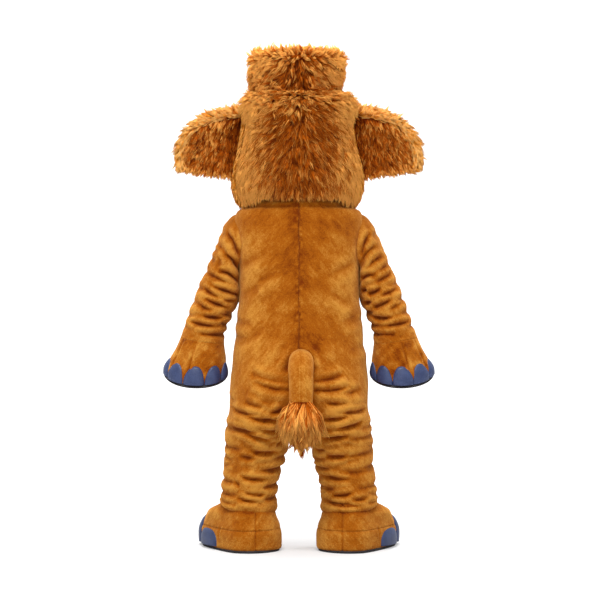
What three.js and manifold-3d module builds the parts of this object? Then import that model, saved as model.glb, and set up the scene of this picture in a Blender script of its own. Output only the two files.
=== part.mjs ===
// A mammoth mascot costume, worn upright: furry head with topknot and ears, plush jumpsuit with tail,
// hoof gloves and hoof shoe covers. Every cut piece is a wall of its own. Millimetres, +Z up. The
// costume faces +Y, and its left side is at -X. Heights in the tables are above the floor; the group is
// lowered at the end, so that the origin lies in the middle of the suit's neck opening, where the
// wearer carries it.
import * as THREE from "three";
import { mergeVertices } from "three/addons/utils/BufferGeometryUtils.js";
import Module from "manifold-3d";

const NECK_UP = 1385; // height of the neck opening, and of the origin
const CROTCH_UP = 480;
const ANKLE_UP = 192;
const SOLE_THICK = 14;
const SHOE_X = 198; // of the ankle, from the middle plane

const SEAM = 0.3; // between the edges of two pieces
const SEAT = 0.6; // between a piece and the smooth form that it lies on, which is faceted
const PLUSH = 3; // short plush with its backing
const FUR_ON_FOAM = 22; // long fur on the head's foam
const GLOVE_WALL = 4;
const SHOE_WALL = 6;
const EAR_PLATE = 13;

const PANEL_STEPS = 5; // facets across one panel of the suit
const SLEEVE_SIDES = 12;
const SHOE_SIDES = 16;
const HEAD_STEP = 15; // degrees between the head's columns

// Names the columns of a table: one object for each row.
const rows = (columns, values) =>
  values.map((row) => Object.fromEntries(columns.split(" ").map((name, i) => [name, row[i]])));

// The suit's sections. Each side is an oval round its own centre, centre away from the middle plane,
// and the two meet in that plane above the crotch. half, back and front are its half width and its
// depths, round its squareness.
const BODY = rows("up centre half back front round", [
  [NECK_UP, 0, 118, 105, 105, 2],
  [1368, 0, 165, 135, 130, 2.1],
  [1350, 0, 222, 174, 165, 2.3],
  [1336, 0, 236, 184, 172, 2.5],
  [1200, 0, 240, 197, 190, 2.5],
  [1100, 0, 240, 196, 200, 2.4],
  [1000, 0, 238, 190, 210, 2.4],
  [920, 0, 246, 188, 216, 2.4],
  [840, 0, 252, 190, 216, 2.4],
  [760, 2, 261, 202, 210, 2.4],
  [700, 14, 255, 210, 203, 2.4],
  [650, 36, 236, 213, 196, 2.4],
  [600, 66, 208, 210, 189, 2.3],
  [560, 93, 184, 202, 181, 2.2],
  [530, 114, 168, 193, 173, 2.2],
  [505, 131, 155, 183, 166, 2.1],
  [CROTCH_UP, 144.2, 144, 172, 157, 2],
  [444, 161, 131, 155, 146, 2],
  [402, 170, 126, 138, 134, 2],
  [352, 178, 122, 124, 125, 2],
  [302, 187, 117, 117, 119, 2],
  [256, 194, 114, 114, 116, 2],
  [ANKLE_UP, SHOE_X, 112, 112, 113, 2],
]);

// The legs' largest folds: level rings drawn in by depth over a height of about twice reach.
const LEG_FOLDS = rows("at depth reach", [
  [352, 8, 13],
  [302, 8, 12],
  [256, 9, 11],
  [222, 7, 9],
]);
const LEG_CRESTS = [377, 327, 279, 239, 222, 206];

// The arm's rings, from the armhole to the rim of the glove, by the points where each is lowest (under
// the arm) and highest (over it), its half depth, and how far its back dips.
const ARM = rows("underOut underUp overOut overUp depth dip", [
  [240, 1117, 238, 1320, 98, 0],
  [243, 1088, 268, 1324, 100, 0],
  [244.5, 1066, 297, 1286, 98, 0],
  [245, 1048, 318, 1240, 95, 0],
  [245, 1032, 340, 1188, 92, 0],
  [246, 1016, 366, 1125, 89, 0],
  [248, 996, 396, 1056, 86, 0],
  [263, 945, 416, 1000, 84, 0],
  [281, 896, 438, 937, 82, 0],
  [296, 850, 458, 876, 82, 0],
  [297, 817, 470, 841, 83, 4],
  [294, 785, 490, 797, 90, 12],
  [289, 745, 513, 757, 98, 28],
  [288, 712, 528, 722, 103, 42],
  [291, 698, 528, 706, 102, 48],
]);
const WRIST = 10; // row of ARM where the sleeve ends and the glove begins
const RIM = 14;
const SLEEVE_FOLDS = rows("at depth reach", [
  [4.2, 6, 0.3],
  [5.4, 7, 0.3],
  [6.45, 7, 0.24],
  [7.35, 7, 0.24],
  [8.25, 7, 0.24],
  [9.15, 7, 0.24],
]);
const SLEEVE_ROWS = [0, 1, 2, 3, 4.2, 4.8, 5.4, 6, 6.45, 6.9, 7.35, 7.8, 8.25, 8.7, 9.15, WRIST];

// The shoe cover's rings: heel and toe radii, and how far the toe's centre lies in front of the heel's.
const SHOE = rows("up heel toe long", [
  [ANKLE_UP, 112, 112, 0],
  [166, 111, 118, 48],
  [136, 112, 128, 95],
  [100, 118, 137, 129],
  [58, 126, 142, 141],
  [SOLE_THICK, 118, 137, 140],
]);
const SHOE_SEAM = 3; // row of SHOE with the seam between its collar and its foot
const SPLAY = 22; // degrees that the toes turn out

// The head's rings, then those of the topknot. cheek is added at the sides of the jaw.
const HEAD = rows("up half cheek back front round", [
  [1351.2, 220, 0, 173, 164, 2.3],
  [1372, 232, 6, 194, 187, 2.4],
  [1400, 241, 14, 210, 208, 2.5],
  [1445, 248, 18, 223, 228, 2.5],
  [1500, 249, 12, 230, 238, 2.5],
  [1560, 244, 3, 232, 240, 2.5],
  [1640, 234, 0, 230, 236, 2.5],
  [1710, 226, 0, 222, 224, 2.6],
  [1760, 225, 0, 208, 210, 2.6],
  [1792, 212, 0, 188, 190, 2.6],
  [1815, 185, 0, 162, 164, 2.7],
  [1850, 184, 0, 160, 162, 2.8],
  [1905, 189, 0, 163, 165, 3],
  [1945, 189, 0, 163, 165, 3],
  [1968, 176, 0, 150, 152, 3],
]);
const TOPKNOT = 10; // row of HEAD where the topknot begins
const HEAD_TOP = 14;
const CROWN_RISE = 20; // of the lid's middle over its edge
const BACK_TURN = 75; // degrees from the middle of the back to the seam with the cheek
const FACE_TURN = 135; // and to the seam with the face
const CHEEK = { turn: 108, reach: 22 }; // where the cheeks stand out

// Ears: a flap between a root on the side of the head and an outline of an arc and a straight stretch.
const EAR = { top: 1752, bottom: 1458, tipOut: 489, tipUp: 1562, hemOut: 472, hemUp: 1484, square: 2.5 };
const EAR_RIM = 38; // width of the rim's band
const EAR_DOME = 8; // how far the middle of a panel stands out
const EAR_STEPS = 12; // along the rim, two to each step of the panels

// Tail shaft: rings by their nearest and farthest points from the seat.
const TUFT_TOP = 617;
const TAIL = rows("nearOut nearUp farOut farUp half", [
  [206, 706, 206, 806, 43],
  [217, 694, 240, 800, 43],
  [222, 684, 276, 770, 43],
  [224, 670, 300, 724, 42],
  [225, 650, 308, 668, 41],
  [225, TUFT_TOP + SEAM, 306, TUFT_TOP + SEAM, 40],
]);
const TUFT = rows("up half depth", [
  [TUFT_TOP, 40, 38],
  [596, 72, 50],
  [560, 98, 58],
  [524, 106, 60],
  [484, 88, 52],
  [444, 54, 36],
  [412, 26, 20],
  [390, 7, 6],
]);
const TUFT_OUT = 266; // of its middle, behind the middle plane

// Trunk: rings from the face to the tip. lean is the angle that a ring is turned from upright.
const TRUNK = rows("out up half lean", [
  [0, 1548, 62, 0],
  [268, 1536, 60, 20],
  [306, 1494, 54, 52],
  [322, 1440, 48, 77],
  [330, 1386, 43, 86],
  [346, 1338, 40, 72],
  [374, 1306, 38, 54],
]);
const TUSK = rows("along out up radius", [
  [92, 0, 1474, 25],
  [100, 266, 1450, 24],
  [106, 300, 1440, 21],
  [104, 336, 1452, 16],
  [98, 362, 1478, 9],
]);
const EYE = { side: 92, up: 1612, radius: 21, proud: 10 };

// Nails: where round the glove and the shoe cover they stand, half their width in degrees, and the rows
// of ARM and SHOE between which they reach.
const GLOVE_NAIL = { turns: [12, 51, 90, 129, 168], halfTurn: 17.5, low: RIM - 0.12, high: RIM - 2 };
const SHOE_NAIL = { turns: [-66, -22, 22, 66, 110], highs: [3.4, 2.4, 2.4, 2.4, 3.4], halfTurn: 20, low: 4.9 };
const NAIL_EDGE = 3; // how far a nail's edge stands off the wall
const NAIL_BULGE = 9; // how much farther its middle does
const NAIL_SUNK = 4; // what is cut back to the wall

const wasm = await Module();
wasm.setup();

const radians = THREE.MathUtils.degToRad;
const spread = (from, to, steps) =>
  Array.from({ length: steps + 1 }, (_, i) => from + ((to - from) * i) / steps);
const circle = (sides) => spread(0, 360, sides).slice(1); // degrees
const middleOf = (points) =>
  points.reduce((sum, p) => sum.add(p), new THREE.Vector3()).multiplyScalar(1 / points.length);
const power = (x, p) => Math.sign(x) * Math.abs(x) ** p;

// A column of a table between its rows, as a smooth curve that never overshoots them.
function read(table, column, key, at) {
  const last = table.length - 1;
  const rising = table[last][key] > table[0][key] ? 1 : -1;
  const x = table.map((row) => rising * row[key]);
  const y = table.map((row) => row[column]);
  const place = THREE.MathUtils.clamp(rising * at, x[0], x[last]);
  const next = x.findIndex((value) => value > place);
  const i = next < 0 ? last - 1 : next - 1;
  const slope = (k) => (y[k + 1] - y[k]) / (x[k + 1] - x[k]);
  const tangent = (k) => {
    if (k === 0) return slope(0);
    if (k === last) return slope(last - 1);
    const [before, after] = [slope(k - 1), slope(k)];
    return before * after <= 0 ? 0 : (2 * before * after) / (before + after);
  };
  const span = x[i + 1] - x[i];
  const t = (place - x[i]) / span;
  return (
    y[i] * (1 + 2 * t) * (1 - t) ** 2 +
    tangent(i) * span * t * (1 - t) ** 2 +
    y[i + 1] * t * t * (3 - 2 * t) +
    tangent(i + 1) * span * t * t * (t - 1)
  );
}
const indexed = (table) => table.map((row, i) => ({ ...row, index: i }));

// How far the folds of a table draw a surface in at one place.
const foldDepth = (folds, at) =>
  folds.reduce((sum, fold) => sum + fold.depth * Math.exp(-(((at - fold.at) / fold.reach) ** 2)), 0);

// A point of the suit's left side. turn is 0 at the inseam, 90 at the back, 180 at the side and 270 in
// front.
function suitPoint(turn, up) {
  const angle = radians(turn);
  const folds = up < CROTCH_UP ? foldDepth(LEG_FOLDS, up) : 0;
  const bend = 2 / read(BODY, "round", "up", up);
  const depth = read(BODY, Math.sin(angle) > 0 ? "back" : "front", "up", up);
  return new THREE.Vector3(
    (read(BODY, "half", "up", up) - folds) * power(Math.cos(angle), bend) - read(BODY, "centre", "up", up),
    (folds - depth) * power(Math.sin(angle), bend),
    up,
  );
}

// The turn at which the suit's left side meets the middle plane, 0 below the crotch.
function middleTurn(up) {
  const share = (read(BODY, "centre", "up", up) - SEAM / 2) / read(BODY, "half", "up", up);
  if (share >= 1) return 0;
  return THREE.MathUtils.radToDeg(Math.acos(power(share, read(BODY, "round", "up", up) / 2)));
}

// How far out the suit's side lies at one depth and height.
function suitSide(y, up) {
  const round = read(BODY, "round", "up", up);
  const depth = read(BODY, y < 0 ? "back" : "front", "up", up);
  return read(BODY, "half", "up", up) * (1 - Math.abs(y / depth) ** round) ** (1 / round);
}

const ARM_ROWS = indexed(ARM);
// A point of the left arm. turn is 0 on the outer line, 90 at the back and 180 under the arm; row
// counts ARM's rows.
function armPoint(turn, row) {
  const angle = radians(turn);
  const at = (column) => read(ARM_ROWS, column, "index", row);
  const folds = row < WRIST ? foldDepth(SLEEVE_FOLDS, row) : 0;
  const under = new THREE.Vector2(at("underOut"), at("underUp"));
  const over = new THREE.Vector2(at("overOut"), at("overUp"));
  const half = under.distanceTo(over) / 2;
  const middle = under.clone().add(over).multiplyScalar(0.5);
  const reach = over.clone().sub(under).normalize().multiplyScalar((half - folds) * Math.cos(angle));
  const back = (at("depth") - folds) * Math.sin(angle);
  return new THREE.Vector3(-middle.x - reach.x, -back, middle.y + reach.y - at("dip") * Math.sin(angle));
}

// The sleeve leaves the armhole, which lies on the suit's side.
function sleevePoint(turn, row) {
  const point = armPoint(turn, row);
  if (row < 1) {
    const side = -suitSide(point.y, point.z) - 2 * SEAT;
    point.x = THREE.MathUtils.lerp(side, point.x, Math.max(0, row));
  }
  return point;
}

// A point of the left shoe cover at a bearing from straight ahead, positive outwards; row counts SHOE's
// rows.
const SHOE_ROWS = indexed(SHOE);
function shoePoint(bearing, row) {
  const at = (column) => read(SHOE_ROWS, column, "index", row);
  const toeShare = THREE.MathUtils.smoothstep(Math.cos(radians(bearing - SPLAY)), -0.75, 0.1);
  const ahead = at("long") * toeShare;
  const radius = THREE.MathUtils.lerp(at("heel"), at("toe"), toeShare);
  return new THREE.Vector3(
    -SHOE_X - ahead * Math.sin(radians(SPLAY)) - radius * Math.sin(radians(bearing)),
    ahead * Math.cos(radians(SPLAY)) + radius * Math.cos(radians(bearing)),
    at("up"),
  );
}

// A point of the head or topknot. turn is 0 at the middle of the back, 90 on the left and 180 in front.
const HEAD_ROWS = indexed(HEAD);
function headPoint(turn, row) {
  const angle = radians(turn);
  const at = (column) => read(HEAD_ROWS, column, "index", row);
  const bend = 2 / at("round");
  const cheek = at("cheek") * Math.exp(-(((Math.abs(turn) - CHEEK.turn) / CHEEK.reach) ** 2));
  return new THREE.Vector3(
    -(at("half") + cheek) * power(Math.sin(angle), bend),
    -at(Math.cos(angle) > 0 ? "back" : "front") * power(Math.cos(angle), bend),
    at("up"),
  );
}

// Where the face's surface lies at one place across and up.
function faceDepth(x, up) {
  const round = read(HEAD, "round", "up", up);
  const share = Math.abs(x) / read(HEAD, "half", "up", up);
  return read(HEAD, "front", "up", up) * (1 - share ** round) ** (1 / round);
}

// How far out the side of the head lies.
function sideOfHead(up) {
  const cheek = read(HEAD, "cheek", "up", up) * Math.exp(-(((90 - CHEEK.turn) / CHEEK.reach) ** 2));
  return read(HEAD, "half", "up", up) + cheek;
}

// How far behind the middle plane the suit's back lies.
const seatDepth = (up) => read(BODY, "back", "up", up);

function solidOf(points, faces) {
  const geometry = new THREE.BufferGeometry().setFromPoints(points).setIndex(faces.flat());
  const corner = (i) => points[geometry.index.getX(i)];
  let volume = 0;
  for (let i = 0; i < geometry.index.count; i += 3) {
    volume += corner(i).dot(new THREE.Vector3().crossVectors(corner(i + 1), corner(i + 2)));
  }
  if (volume < 0) geometry.setIndex(faces.map(([a, b, c]) => [a, c, b]).flat());
  return geometry;
}
const quad = (a, b, c, d) => [
  [a, b, c],
  [a, c, d],
];

// The surface's normal at (u, v), by central differences of one thousandth of the steps.
function normalOf(at, u, v, stepU, stepV) {
  const [du, dv] = [stepU / 1000, stepV / 1000];
  const along = at(u + du, v).sub(at(u - du, v));
  const across = at(u, v + dv).sub(at(u, v - dv));
  return along.cross(across).normalize();
}

// A closed wall whose outer face lies on the surface at(u, v), through the columns us and the rows vs,
// and whose inner face lies thick inside it. Its edges stop half a seam short. A wall that is closed
// joins its last column to its first. facing gives a direction that its outer face looks to; without
// one it looks away from the wall's middle. Where the ends are level, so are their edges.
function wall(at, us, vs, thick, { closed = false, level = false, facing = null } = {}) {
  const [stepU, stepV] = [us[1] - us[0], vs[1] - vs[0]];
  const grid = vs.map((v) => us.map((u) => at(u, v)));
  const normals = vs.map((v) => us.map((u) => normalOf(at, u, v, stepU, stepV)));
  if (level) [...normals[0], ...normals.at(-1)].forEach((normal) => normal.setZ(0).normalize());
  const all = grid.flat();
  const middle = middleOf(all);
  const agree = normals.flat().reduce((sum, n, i) => sum + n.dot(facing ?? all[i].clone().sub(middle)), 0);
  const inward = agree > 0 ? -thick : thick;
  const pull = (edge, next) => edge.add(next.clone().sub(edge).setLength(SEAM / 2));
  if (!closed) {
    grid.forEach((row) => {
      pull(row[0], row[1]);
      pull(row.at(-1), row.at(-2));
    });
  }
  us.forEach((_, i) => {
    pull(grid[0][i], grid[1][i]);
    pull(grid.at(-1)[i], grid.at(-2)[i]);
  });
  const inner = grid.map((row, j) => row.map((p, i) => p.clone().addScaledVector(normals[j][i], inward)));
  const [across, up, half] = [us.length, vs.length, us.length * vs.length];
  const id = (i, j) => j * across + (i % across);
  const faces = [];
  for (let j = 0; j + 1 < up; j++) {
    for (let i = 0; i < (closed ? across : across - 1); i++) {
      const cell = [id(i, j), id(i + 1, j), id(i + 1, j + 1), id(i, j + 1)];
      faces.push(...quad(...cell), ...quad(...cell.map((k) => k + half).reverse()));
    }
  }
  for (let i = 0; i < (closed ? across : across - 1); i++) {
    faces.push(...quad(id(i, 0), id(i, 0) + half, id(i + 1, 0) + half, id(i + 1, 0)));
    faces.push(...quad(id(i, up - 1), id(i + 1, up - 1), id(i + 1, up - 1) + half, id(i, up - 1) + half));
  }
  for (let j = 0; !closed && j + 1 < up; j++) {
    const [first, last] = [id(0, j), id(across - 1, j)];
    faces.push(...quad(first, first + across, first + across + half, first + half));
    faces.push(...quad(last, last + half, last + across + half, last + across));
  }
  return solidOf([...grid.flat(), ...inner.flat()], faces);
}

// A solid through rings of points, each end closed by a fan round its middle. seat moves the first
// end's middle.
function loft(rings, seat = (middle) => middle) {
  const sides = rings[0].length;
  const points = rings.flat();
  const faces = [];
  for (let j = 0; j + 1 < rings.length; j++) {
    for (let i = 0; i < sides; i++) {
      const next = (i + 1) % sides;
      faces.push(...quad(j * sides + i, j * sides + next, (j + 1) * sides + next, (j + 1) * sides + i));
    }
  }
  for (const [ring, turned] of [[0, true], [rings.length - 1, false]]) {
    const centre = points.length;
    const middle = middleOf(rings[ring]);
    points.push(turned ? seat(middle) : middle);
    for (let i = 0; i < sides; i++) {
      const [a, b] = [ring * sides + i, ring * sides + ((i + 1) % sides)];
      faces.push(turned ? [b, a, centre] : [a, b, centre]);
    }
  }
  return solidOf(points, faces);
}

function toManifold(geometry) {
  const merged = mergeVertices(geometry.clone(), 1e-4);
  return new wasm.Manifold(
    new wasm.Mesh({
      numProp: 3,
      vertProperties: merged.attributes.position.array,
      triVerts: new Uint32Array(merged.index.array),
    }),
  );
}

function fromManifold(solid) {
  const mesh = solid.getMesh();
  return new THREE.BufferGeometry()
    .setAttribute("position", new THREE.BufferAttribute(mesh.vertProperties, 3))
    .setIndex(new THREE.BufferAttribute(mesh.triVerts, 1));
}

const cut = (geometry, cutter) => fromManifold(toManifold(geometry).subtract(toManifold(cutter)));

// Suit ---------------------------------------------------------------------------------------------------

const SUIT_UPS = [...BODY.map((row) => row.up), ...LEG_CRESTS].sort((a, b) => b - a);

// One panel from the neck to the ankle, between the middle seam or inseam and the side seam.
function suitPanel(front) {
  const at = (share, up) => {
    const from = middleTurn(up);
    const turn = from + share * (180 - from);
    return suitPoint(front ? 360 - turn : turn, up);
  };
  return cut(wall(at, spread(0, 1, PANEL_STEPS), SUIT_UPS, PLUSH, { level: true }), armhole());
}

// What is cut from the suit's side for the sleeve: the inside of the sleeve's first ring, run across
// the side.
function armhole() {
  const [inside, outside] = [-120, -300];
  const edge = circle(20).map((turn) => armPoint(turn, 0));
  const middle = middleOf(edge);
  const ring = (x) =>
    edge.map((p) => {
      const q = p.clone().sub(middle);
      return q.setLength(q.length() - PLUSH).add(middle).setX(x);
    });
  return loft([ring(inside), ring(outside)]);
}

const sleeve = () => wall(sleevePoint, circle(SLEEVE_SIDES), SLEEVE_ROWS, PLUSH, { closed: true });

// A ring of points between a near and a far point in the middle plane, standing behind the suit.
function behindRing(row, sides) {
  const middle = new THREE.Vector3(0, -(row.nearOut + row.farOut) / 2, (row.nearUp + row.farUp) / 2);
  const reach = new THREE.Vector3(0, -(row.farOut - row.nearOut) / 2, (row.farUp - row.nearUp) / 2);
  return circle(sides).map((turn) => {
    const point = middle.clone().addScaledVector(reach, Math.cos(radians(turn)));
    return point.setX(row.half * Math.sin(radians(turn)));
  });
}

function tailShaft() {
  const onSeat = (point) => point.setY(-seatDepth(point.z) - 2 * SEAT);
  const rings = TAIL.map((row) => behindRing(row, 10));
  rings[0].forEach(onSeat);
  return loft(rings, onSeat);
}

function tailTuft() {
  return loft(
    TUFT.map((row) =>
      circle(10).map(
        (turn) =>
          new THREE.Vector3(
            row.half * Math.sin(radians(turn)),
            -TUFT_OUT + row.depth * Math.cos(radians(turn)),
            row.up,
          ),
      ),
    ),
  );
}

// Gloves and shoe covers ---------------------------------------------------------------------------------

// The glove's columns pass through the middle and the sides of every nail.
const GLOVE_TURNS = [12, 31.5, 51, 70.5, 90, 109.5, 129, 148.5, 168, 195, 225, 255, 285, 315, 345];
const CUFF = WRIST + 0.03;
const GLOVE_ROWS = [CUFF, 11, 12, 13, RIM];
const glove = () => wall(armPoint, GLOVE_TURNS, GLOVE_ROWS, GLOVE_WALL, { closed: true });

// The pad that closes the glove: rings that follow its rim, below and within it.
function glovePad() {
  const rings = rows("drop grow", [[2.4, 1], [5, 2], [8, -4], [11, -30]]);
  const edge = GLOVE_TURNS.map((turn) => armPoint(turn, RIM));
  const middle = middleOf(edge);
  return loft(
    rings.map(({ drop, grow }) =>
      edge.map((p) => {
        const out = p.clone().sub(middle);
        return p.clone().add(out.setLength(grow)).setZ(p.z + out.z - drop);
      }),
    ),
  );
}

// A tube's normal at (u, v), looking out of it.
function outward(at, u, v) {
  const normal = normalOf(at, u, v, 1, 0.1);
  return normal.multiplyScalar(Math.sign(normal.dot(at(u, v).sub(at(u + 180, v)))));
}

// The form that a closed wall covers, filled and grown by a seam: what lies on the wall is cut back to
// it.
const filled = (at, us, vs) =>
  loft(vs.map((v) => us.map((u) => at(u, v).addScaledVector(outward(at, u, v), 1.3 * SEAM))));

// A nail: an arch over a stretch of a wall, rising from the row low to the row high, with a bulge.
function nail(at, form, turn, { halfTurn, low, high }) {
  const across = [-1, -0.5, 0.5, 1];
  const rise = (s) => 0.3 + 0.7 * Math.sqrt(Math.max(0, 1 - Math.abs(s) ** 3));
  const face = (s, t, proud) => {
    const [u, v] = [turn + s * halfTurn, low + (high - low) * rise(s) * t];
    return at(u, v).addScaledVector(outward(at, u, v), proud);
  };
  const outer = (s, t) => face(s, t, NAIL_EDGE + NAIL_BULGE * (1 - s * s) * (1 - 0.75 * t * t));
  const grid = (surface) => [0, 0.5, 1].map((t) => across.map((s) => surface(s, t))).flat();
  const [n, half] = [across.length, across.length * 3];
  const faces = [];
  for (let j = 0; j < 2; j++) {
    for (let i = 0; i + 1 < n; i++) {
      const cell = [j * n + i, j * n + i + 1, (j + 1) * n + i + 1, (j + 1) * n + i];
      faces.push(...quad(...cell), ...quad(...cell.map((k) => k + half).reverse()));
    }
  }
  const edge = [...spread(0, n - 1, n - 1), 2 * n - 1, ...spread(3 * n - 1, 2 * n, n - 1), n];
  edge.forEach((a, i) => {
    const b = edge[(i + 1) % edge.length];
    faces.push(...quad(b, a, a + half, b + half));
  });
  return cut(solidOf([...grid(outer), ...grid((s, t) => face(s, t, -NAIL_SUNK))], faces), form);
}

const SHOE_TURNS = spread(-180, 180, SHOE_SIDES).slice(1);
const shoeWall = (from, to) =>
  wall(shoePoint, SHOE_TURNS, spread(from, to, to - from), SHOE_WALL, { closed: true, level: true });

function sole() {
  const edges = rows("up grow", [[SOLE_THICK - SEAM, 2], [5, 3], [0, -2]]);
  return loft(
    edges.map(({ up, grow }) =>
      SHOE_TURNS.map((bearing) => {
        const point = shoePoint(bearing, SHOE.length - 1);
        const out = new THREE.Vector3(-Math.sin(radians(bearing)), Math.cos(radians(bearing)), 0);
        return point.addScaledVector(out, grow).setZ(up);
      }),
    ),
  );
}

// Head ---------------------------------------------------------------------------------------------------

const headWall = (from, to) =>
  wall(headPoint, spread(from, to, (to - from) / HEAD_STEP), spread(0, TOPKNOT, TOPKNOT), FUR_ON_FOAM);

const TOPKNOT_TURNS = spread(-180, 180, 14).slice(1);
const topknotBand = () =>
  wall(headPoint, TOPKNOT_TURNS, [TOPKNOT + 0.02, 11, 12, 13, HEAD_TOP], FUR_ON_FOAM, { closed: true });

// The topknot's lid: a domed disc that lies on the band.
function topknotLid() {
  const edge = TOPKNOT_TURNS.map((turn) => headPoint(turn, HEAD_TOP));
  const level = (share, up) => edge.map((p) => new THREE.Vector3(p.x * share, p.y * share, up));
  const base = HEAD[HEAD_TOP].up + SEAM;
  return loft([
    level(0.85, base),
    level(1, base),
    level(0.99, base + CROWN_RISE * 0.3),
    ...[0.72, 0.36].map((share) => level(share, base + CROWN_RISE * (1 - 0.35 * share ** 2))),
  ]);
}

// The ear's outline, from its upper root corner round the tip and down to the hem, drawn in by inset.
function earEdge(share, inset) {
  const bendEnd = 0.8;
  const root = read(HEAD, "half", "up", EAR.top);
  if (share <= bendEnd) {
    const angle = ((1 - share / bendEnd) * Math.PI) / 2;
    const start = root + 34;
    return new THREE.Vector2(
      start + (EAR.tipOut - inset - start) * power(Math.cos(angle), 2 / EAR.square),
      EAR.tipUp + (EAR.top - inset - EAR.tipUp) * power(Math.sin(angle), 2 / EAR.square),
    );
  }
  const t = (share - bendEnd) / (1 - bendEnd);
  return new THREE.Vector2(
    THREE.MathUtils.lerp(EAR.tipOut, EAR.hemOut, t) - inset,
    THREE.MathUtils.lerp(EAR.tipUp, EAR.hemUp, t),
  );
}

// A point of an ear panel: along its outline by share, and from its root, 0, to its rim, 1. side is -1
// at the back.
function earPoint(share, reach, side) {
  const edge = earEdge(share, EAR_RIM);
  const up = THREE.MathUtils.lerp(EAR.top - EAR_RIM - 6, EAR.bottom, share);
  const root = sideOfHead(up) + SEAT;
  const dome = EAR_PLATE + SEAM + EAR_DOME * Math.sin(Math.PI * reach) ** 2;
  return new THREE.Vector3(
    -THREE.MathUtils.lerp(root, edge.x, reach),
    side * dome,
    THREE.MathUtils.lerp(up, edge.y, reach),
  );
}
function earPanel(side) {
  const at = (share, reach) => earPoint(share, reach, side);
  const facing = new THREE.Vector3(0, side, 0);
  return wall(at, spread(0, 1, EAR_STEPS / 2), [0, 0.5, 1], EAR_PLATE, { facing });
}

// The furry band round the ear, an oval swept along the outline.
function earRim() {
  const oval = circle(6);
  return loft(
    spread(0, 1, EAR_STEPS).map((share) => {
      const [inner, outer] = [earEdge(share, EAR_RIM), earEdge(share, 0)];
      const middle = inner.clone().add(outer).multiplyScalar(0.5);
      const reach = outer.clone().sub(inner).multiplyScalar(0.5);
      return oval.map((turn) => {
        const place = middle.clone().addScaledVector(reach, Math.cos(radians(turn)));
        return new THREE.Vector3(-place.x, 19 * Math.sin(radians(turn)), place.y);
      });
    }),
  );
}

// Face: a short stuffed trunk, two tusks and two round eyes, plainly made.
const onFace = (point, proud = 0) => point.setY(faceDepth(point.x, point.z) + SEAT + proud);

function trunk() {
  return loft(
    TRUNK.map((row, i) =>
      circle(10).map((turn) => {
        const [x, along] = [row.half * Math.sin(radians(turn)), row.half * Math.cos(radians(turn))];
        const [out, up] = [along * Math.sin(radians(row.lean)), along * Math.cos(radians(row.lean))];
        const point = new THREE.Vector3(x, row.out + out, row.up + up);
        return i === 0 ? onFace(point) : point;
      }),
    ),
    onFace,
  );
}

function tusk() {
  return loft(
    TUSK.map((row, i) =>
      circle(8).map((turn) => {
        const [x, up] = [row.radius * Math.sin(radians(turn)), row.radius * Math.cos(radians(turn))];
        const point = new THREE.Vector3(-row.along + x, row.out, row.up + up);
        return i === 0 ? onFace(point) : point;
      }),
    ),
    onFace,
  );
}

function eye() {
  const levels = rows("share rise", [[1, 0], [0.86, 0.6], [0.45, 1]]);
  return loft(
    levels.map(({ share, rise }) =>
      circle(10).map((turn) => {
        const reach = share * EYE.radius;
        const [x, up] = [reach * Math.sin(radians(turn)), reach * Math.cos(radians(turn))];
        return onFace(new THREE.Vector3(x - EYE.side, 0, up + EYE.up), rise * EYE.proud);
      }),
    ),
    onFace,
  );
}

// Assembly -----------------------------------------------------------------------------------------------

const finish = (color, roughness) => new THREE.MeshStandardMaterial({ color, roughness, metalness: 0 });
const PLUSH_GOLD = finish(0xc77f2b, 0.95);
const FUR_BROWN = finish(0xa8641f, 1);
const FUR_GOLD = finish(0xd69a45, 1);
const HOOF_BLUE = finish(0x4c5c94, 0.7);
const PAD_DARK = finish(0x1d1716, 0.8);
const TUSK_CREAM = finish(0xe9dfc6, 0.6);
const EYE_DARK = finish(0x120e0c, 0.25);

const costume = new THREE.Group();
costume.position.z = -NECK_UP;

function add(name, geometry, material) {
  geometry.computeVertexNormals();
  const mesh = new THREE.Mesh(geometry, material);
  mesh.name = name;
  costume.add(mesh);
  return mesh;
}

// Adds a piece of the left side, and its mirror image on the right.
function addPair(name, geometry, material) {
  add(`${name}_left`, geometry, material);
  add(`${name}_right`, geometry.clone(), material).scale.x = -1;
}

addPair("suit_back", suitPanel(false), PLUSH_GOLD);
addPair("suit_front", suitPanel(true), PLUSH_GOLD);
addPair("sleeve", sleeve(), PLUSH_GOLD);
add("tail_shaft", tailShaft(), PLUSH_GOLD);
add("tail_tuft", tailTuft(), FUR_GOLD);

addPair("glove", glove(), PLUSH_GOLD);
addPair("glove_pad", glovePad(), PAD_DARK);
const gloveForm = filled(armPoint, GLOVE_TURNS, GLOVE_ROWS);
GLOVE_NAIL.turns.forEach((turn, i) => {
  addPair(`glove_nail_${i + 1}`, nail(armPoint, gloveForm, turn, GLOVE_NAIL), HOOF_BLUE);
});

addPair("shoe_collar", shoeWall(0, SHOE_SEAM), PLUSH_GOLD);
addPair("shoe_foot", shoeWall(SHOE_SEAM, SHOE.length - 1), PLUSH_GOLD);
addPair("shoe_sole", sole(), PAD_DARK);
const footForm = filled(shoePoint, SHOE_TURNS, spread(0, SHOE.length - 1, SHOE.length - 1));
SHOE_NAIL.turns.forEach((bearing, i) => {
  const reach = { ...SHOE_NAIL, high: SHOE_NAIL.highs[i] };
  addPair(`shoe_nail_${i + 1}`, nail(shoePoint, footForm, bearing, reach), HOOF_BLUE);
});

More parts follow.
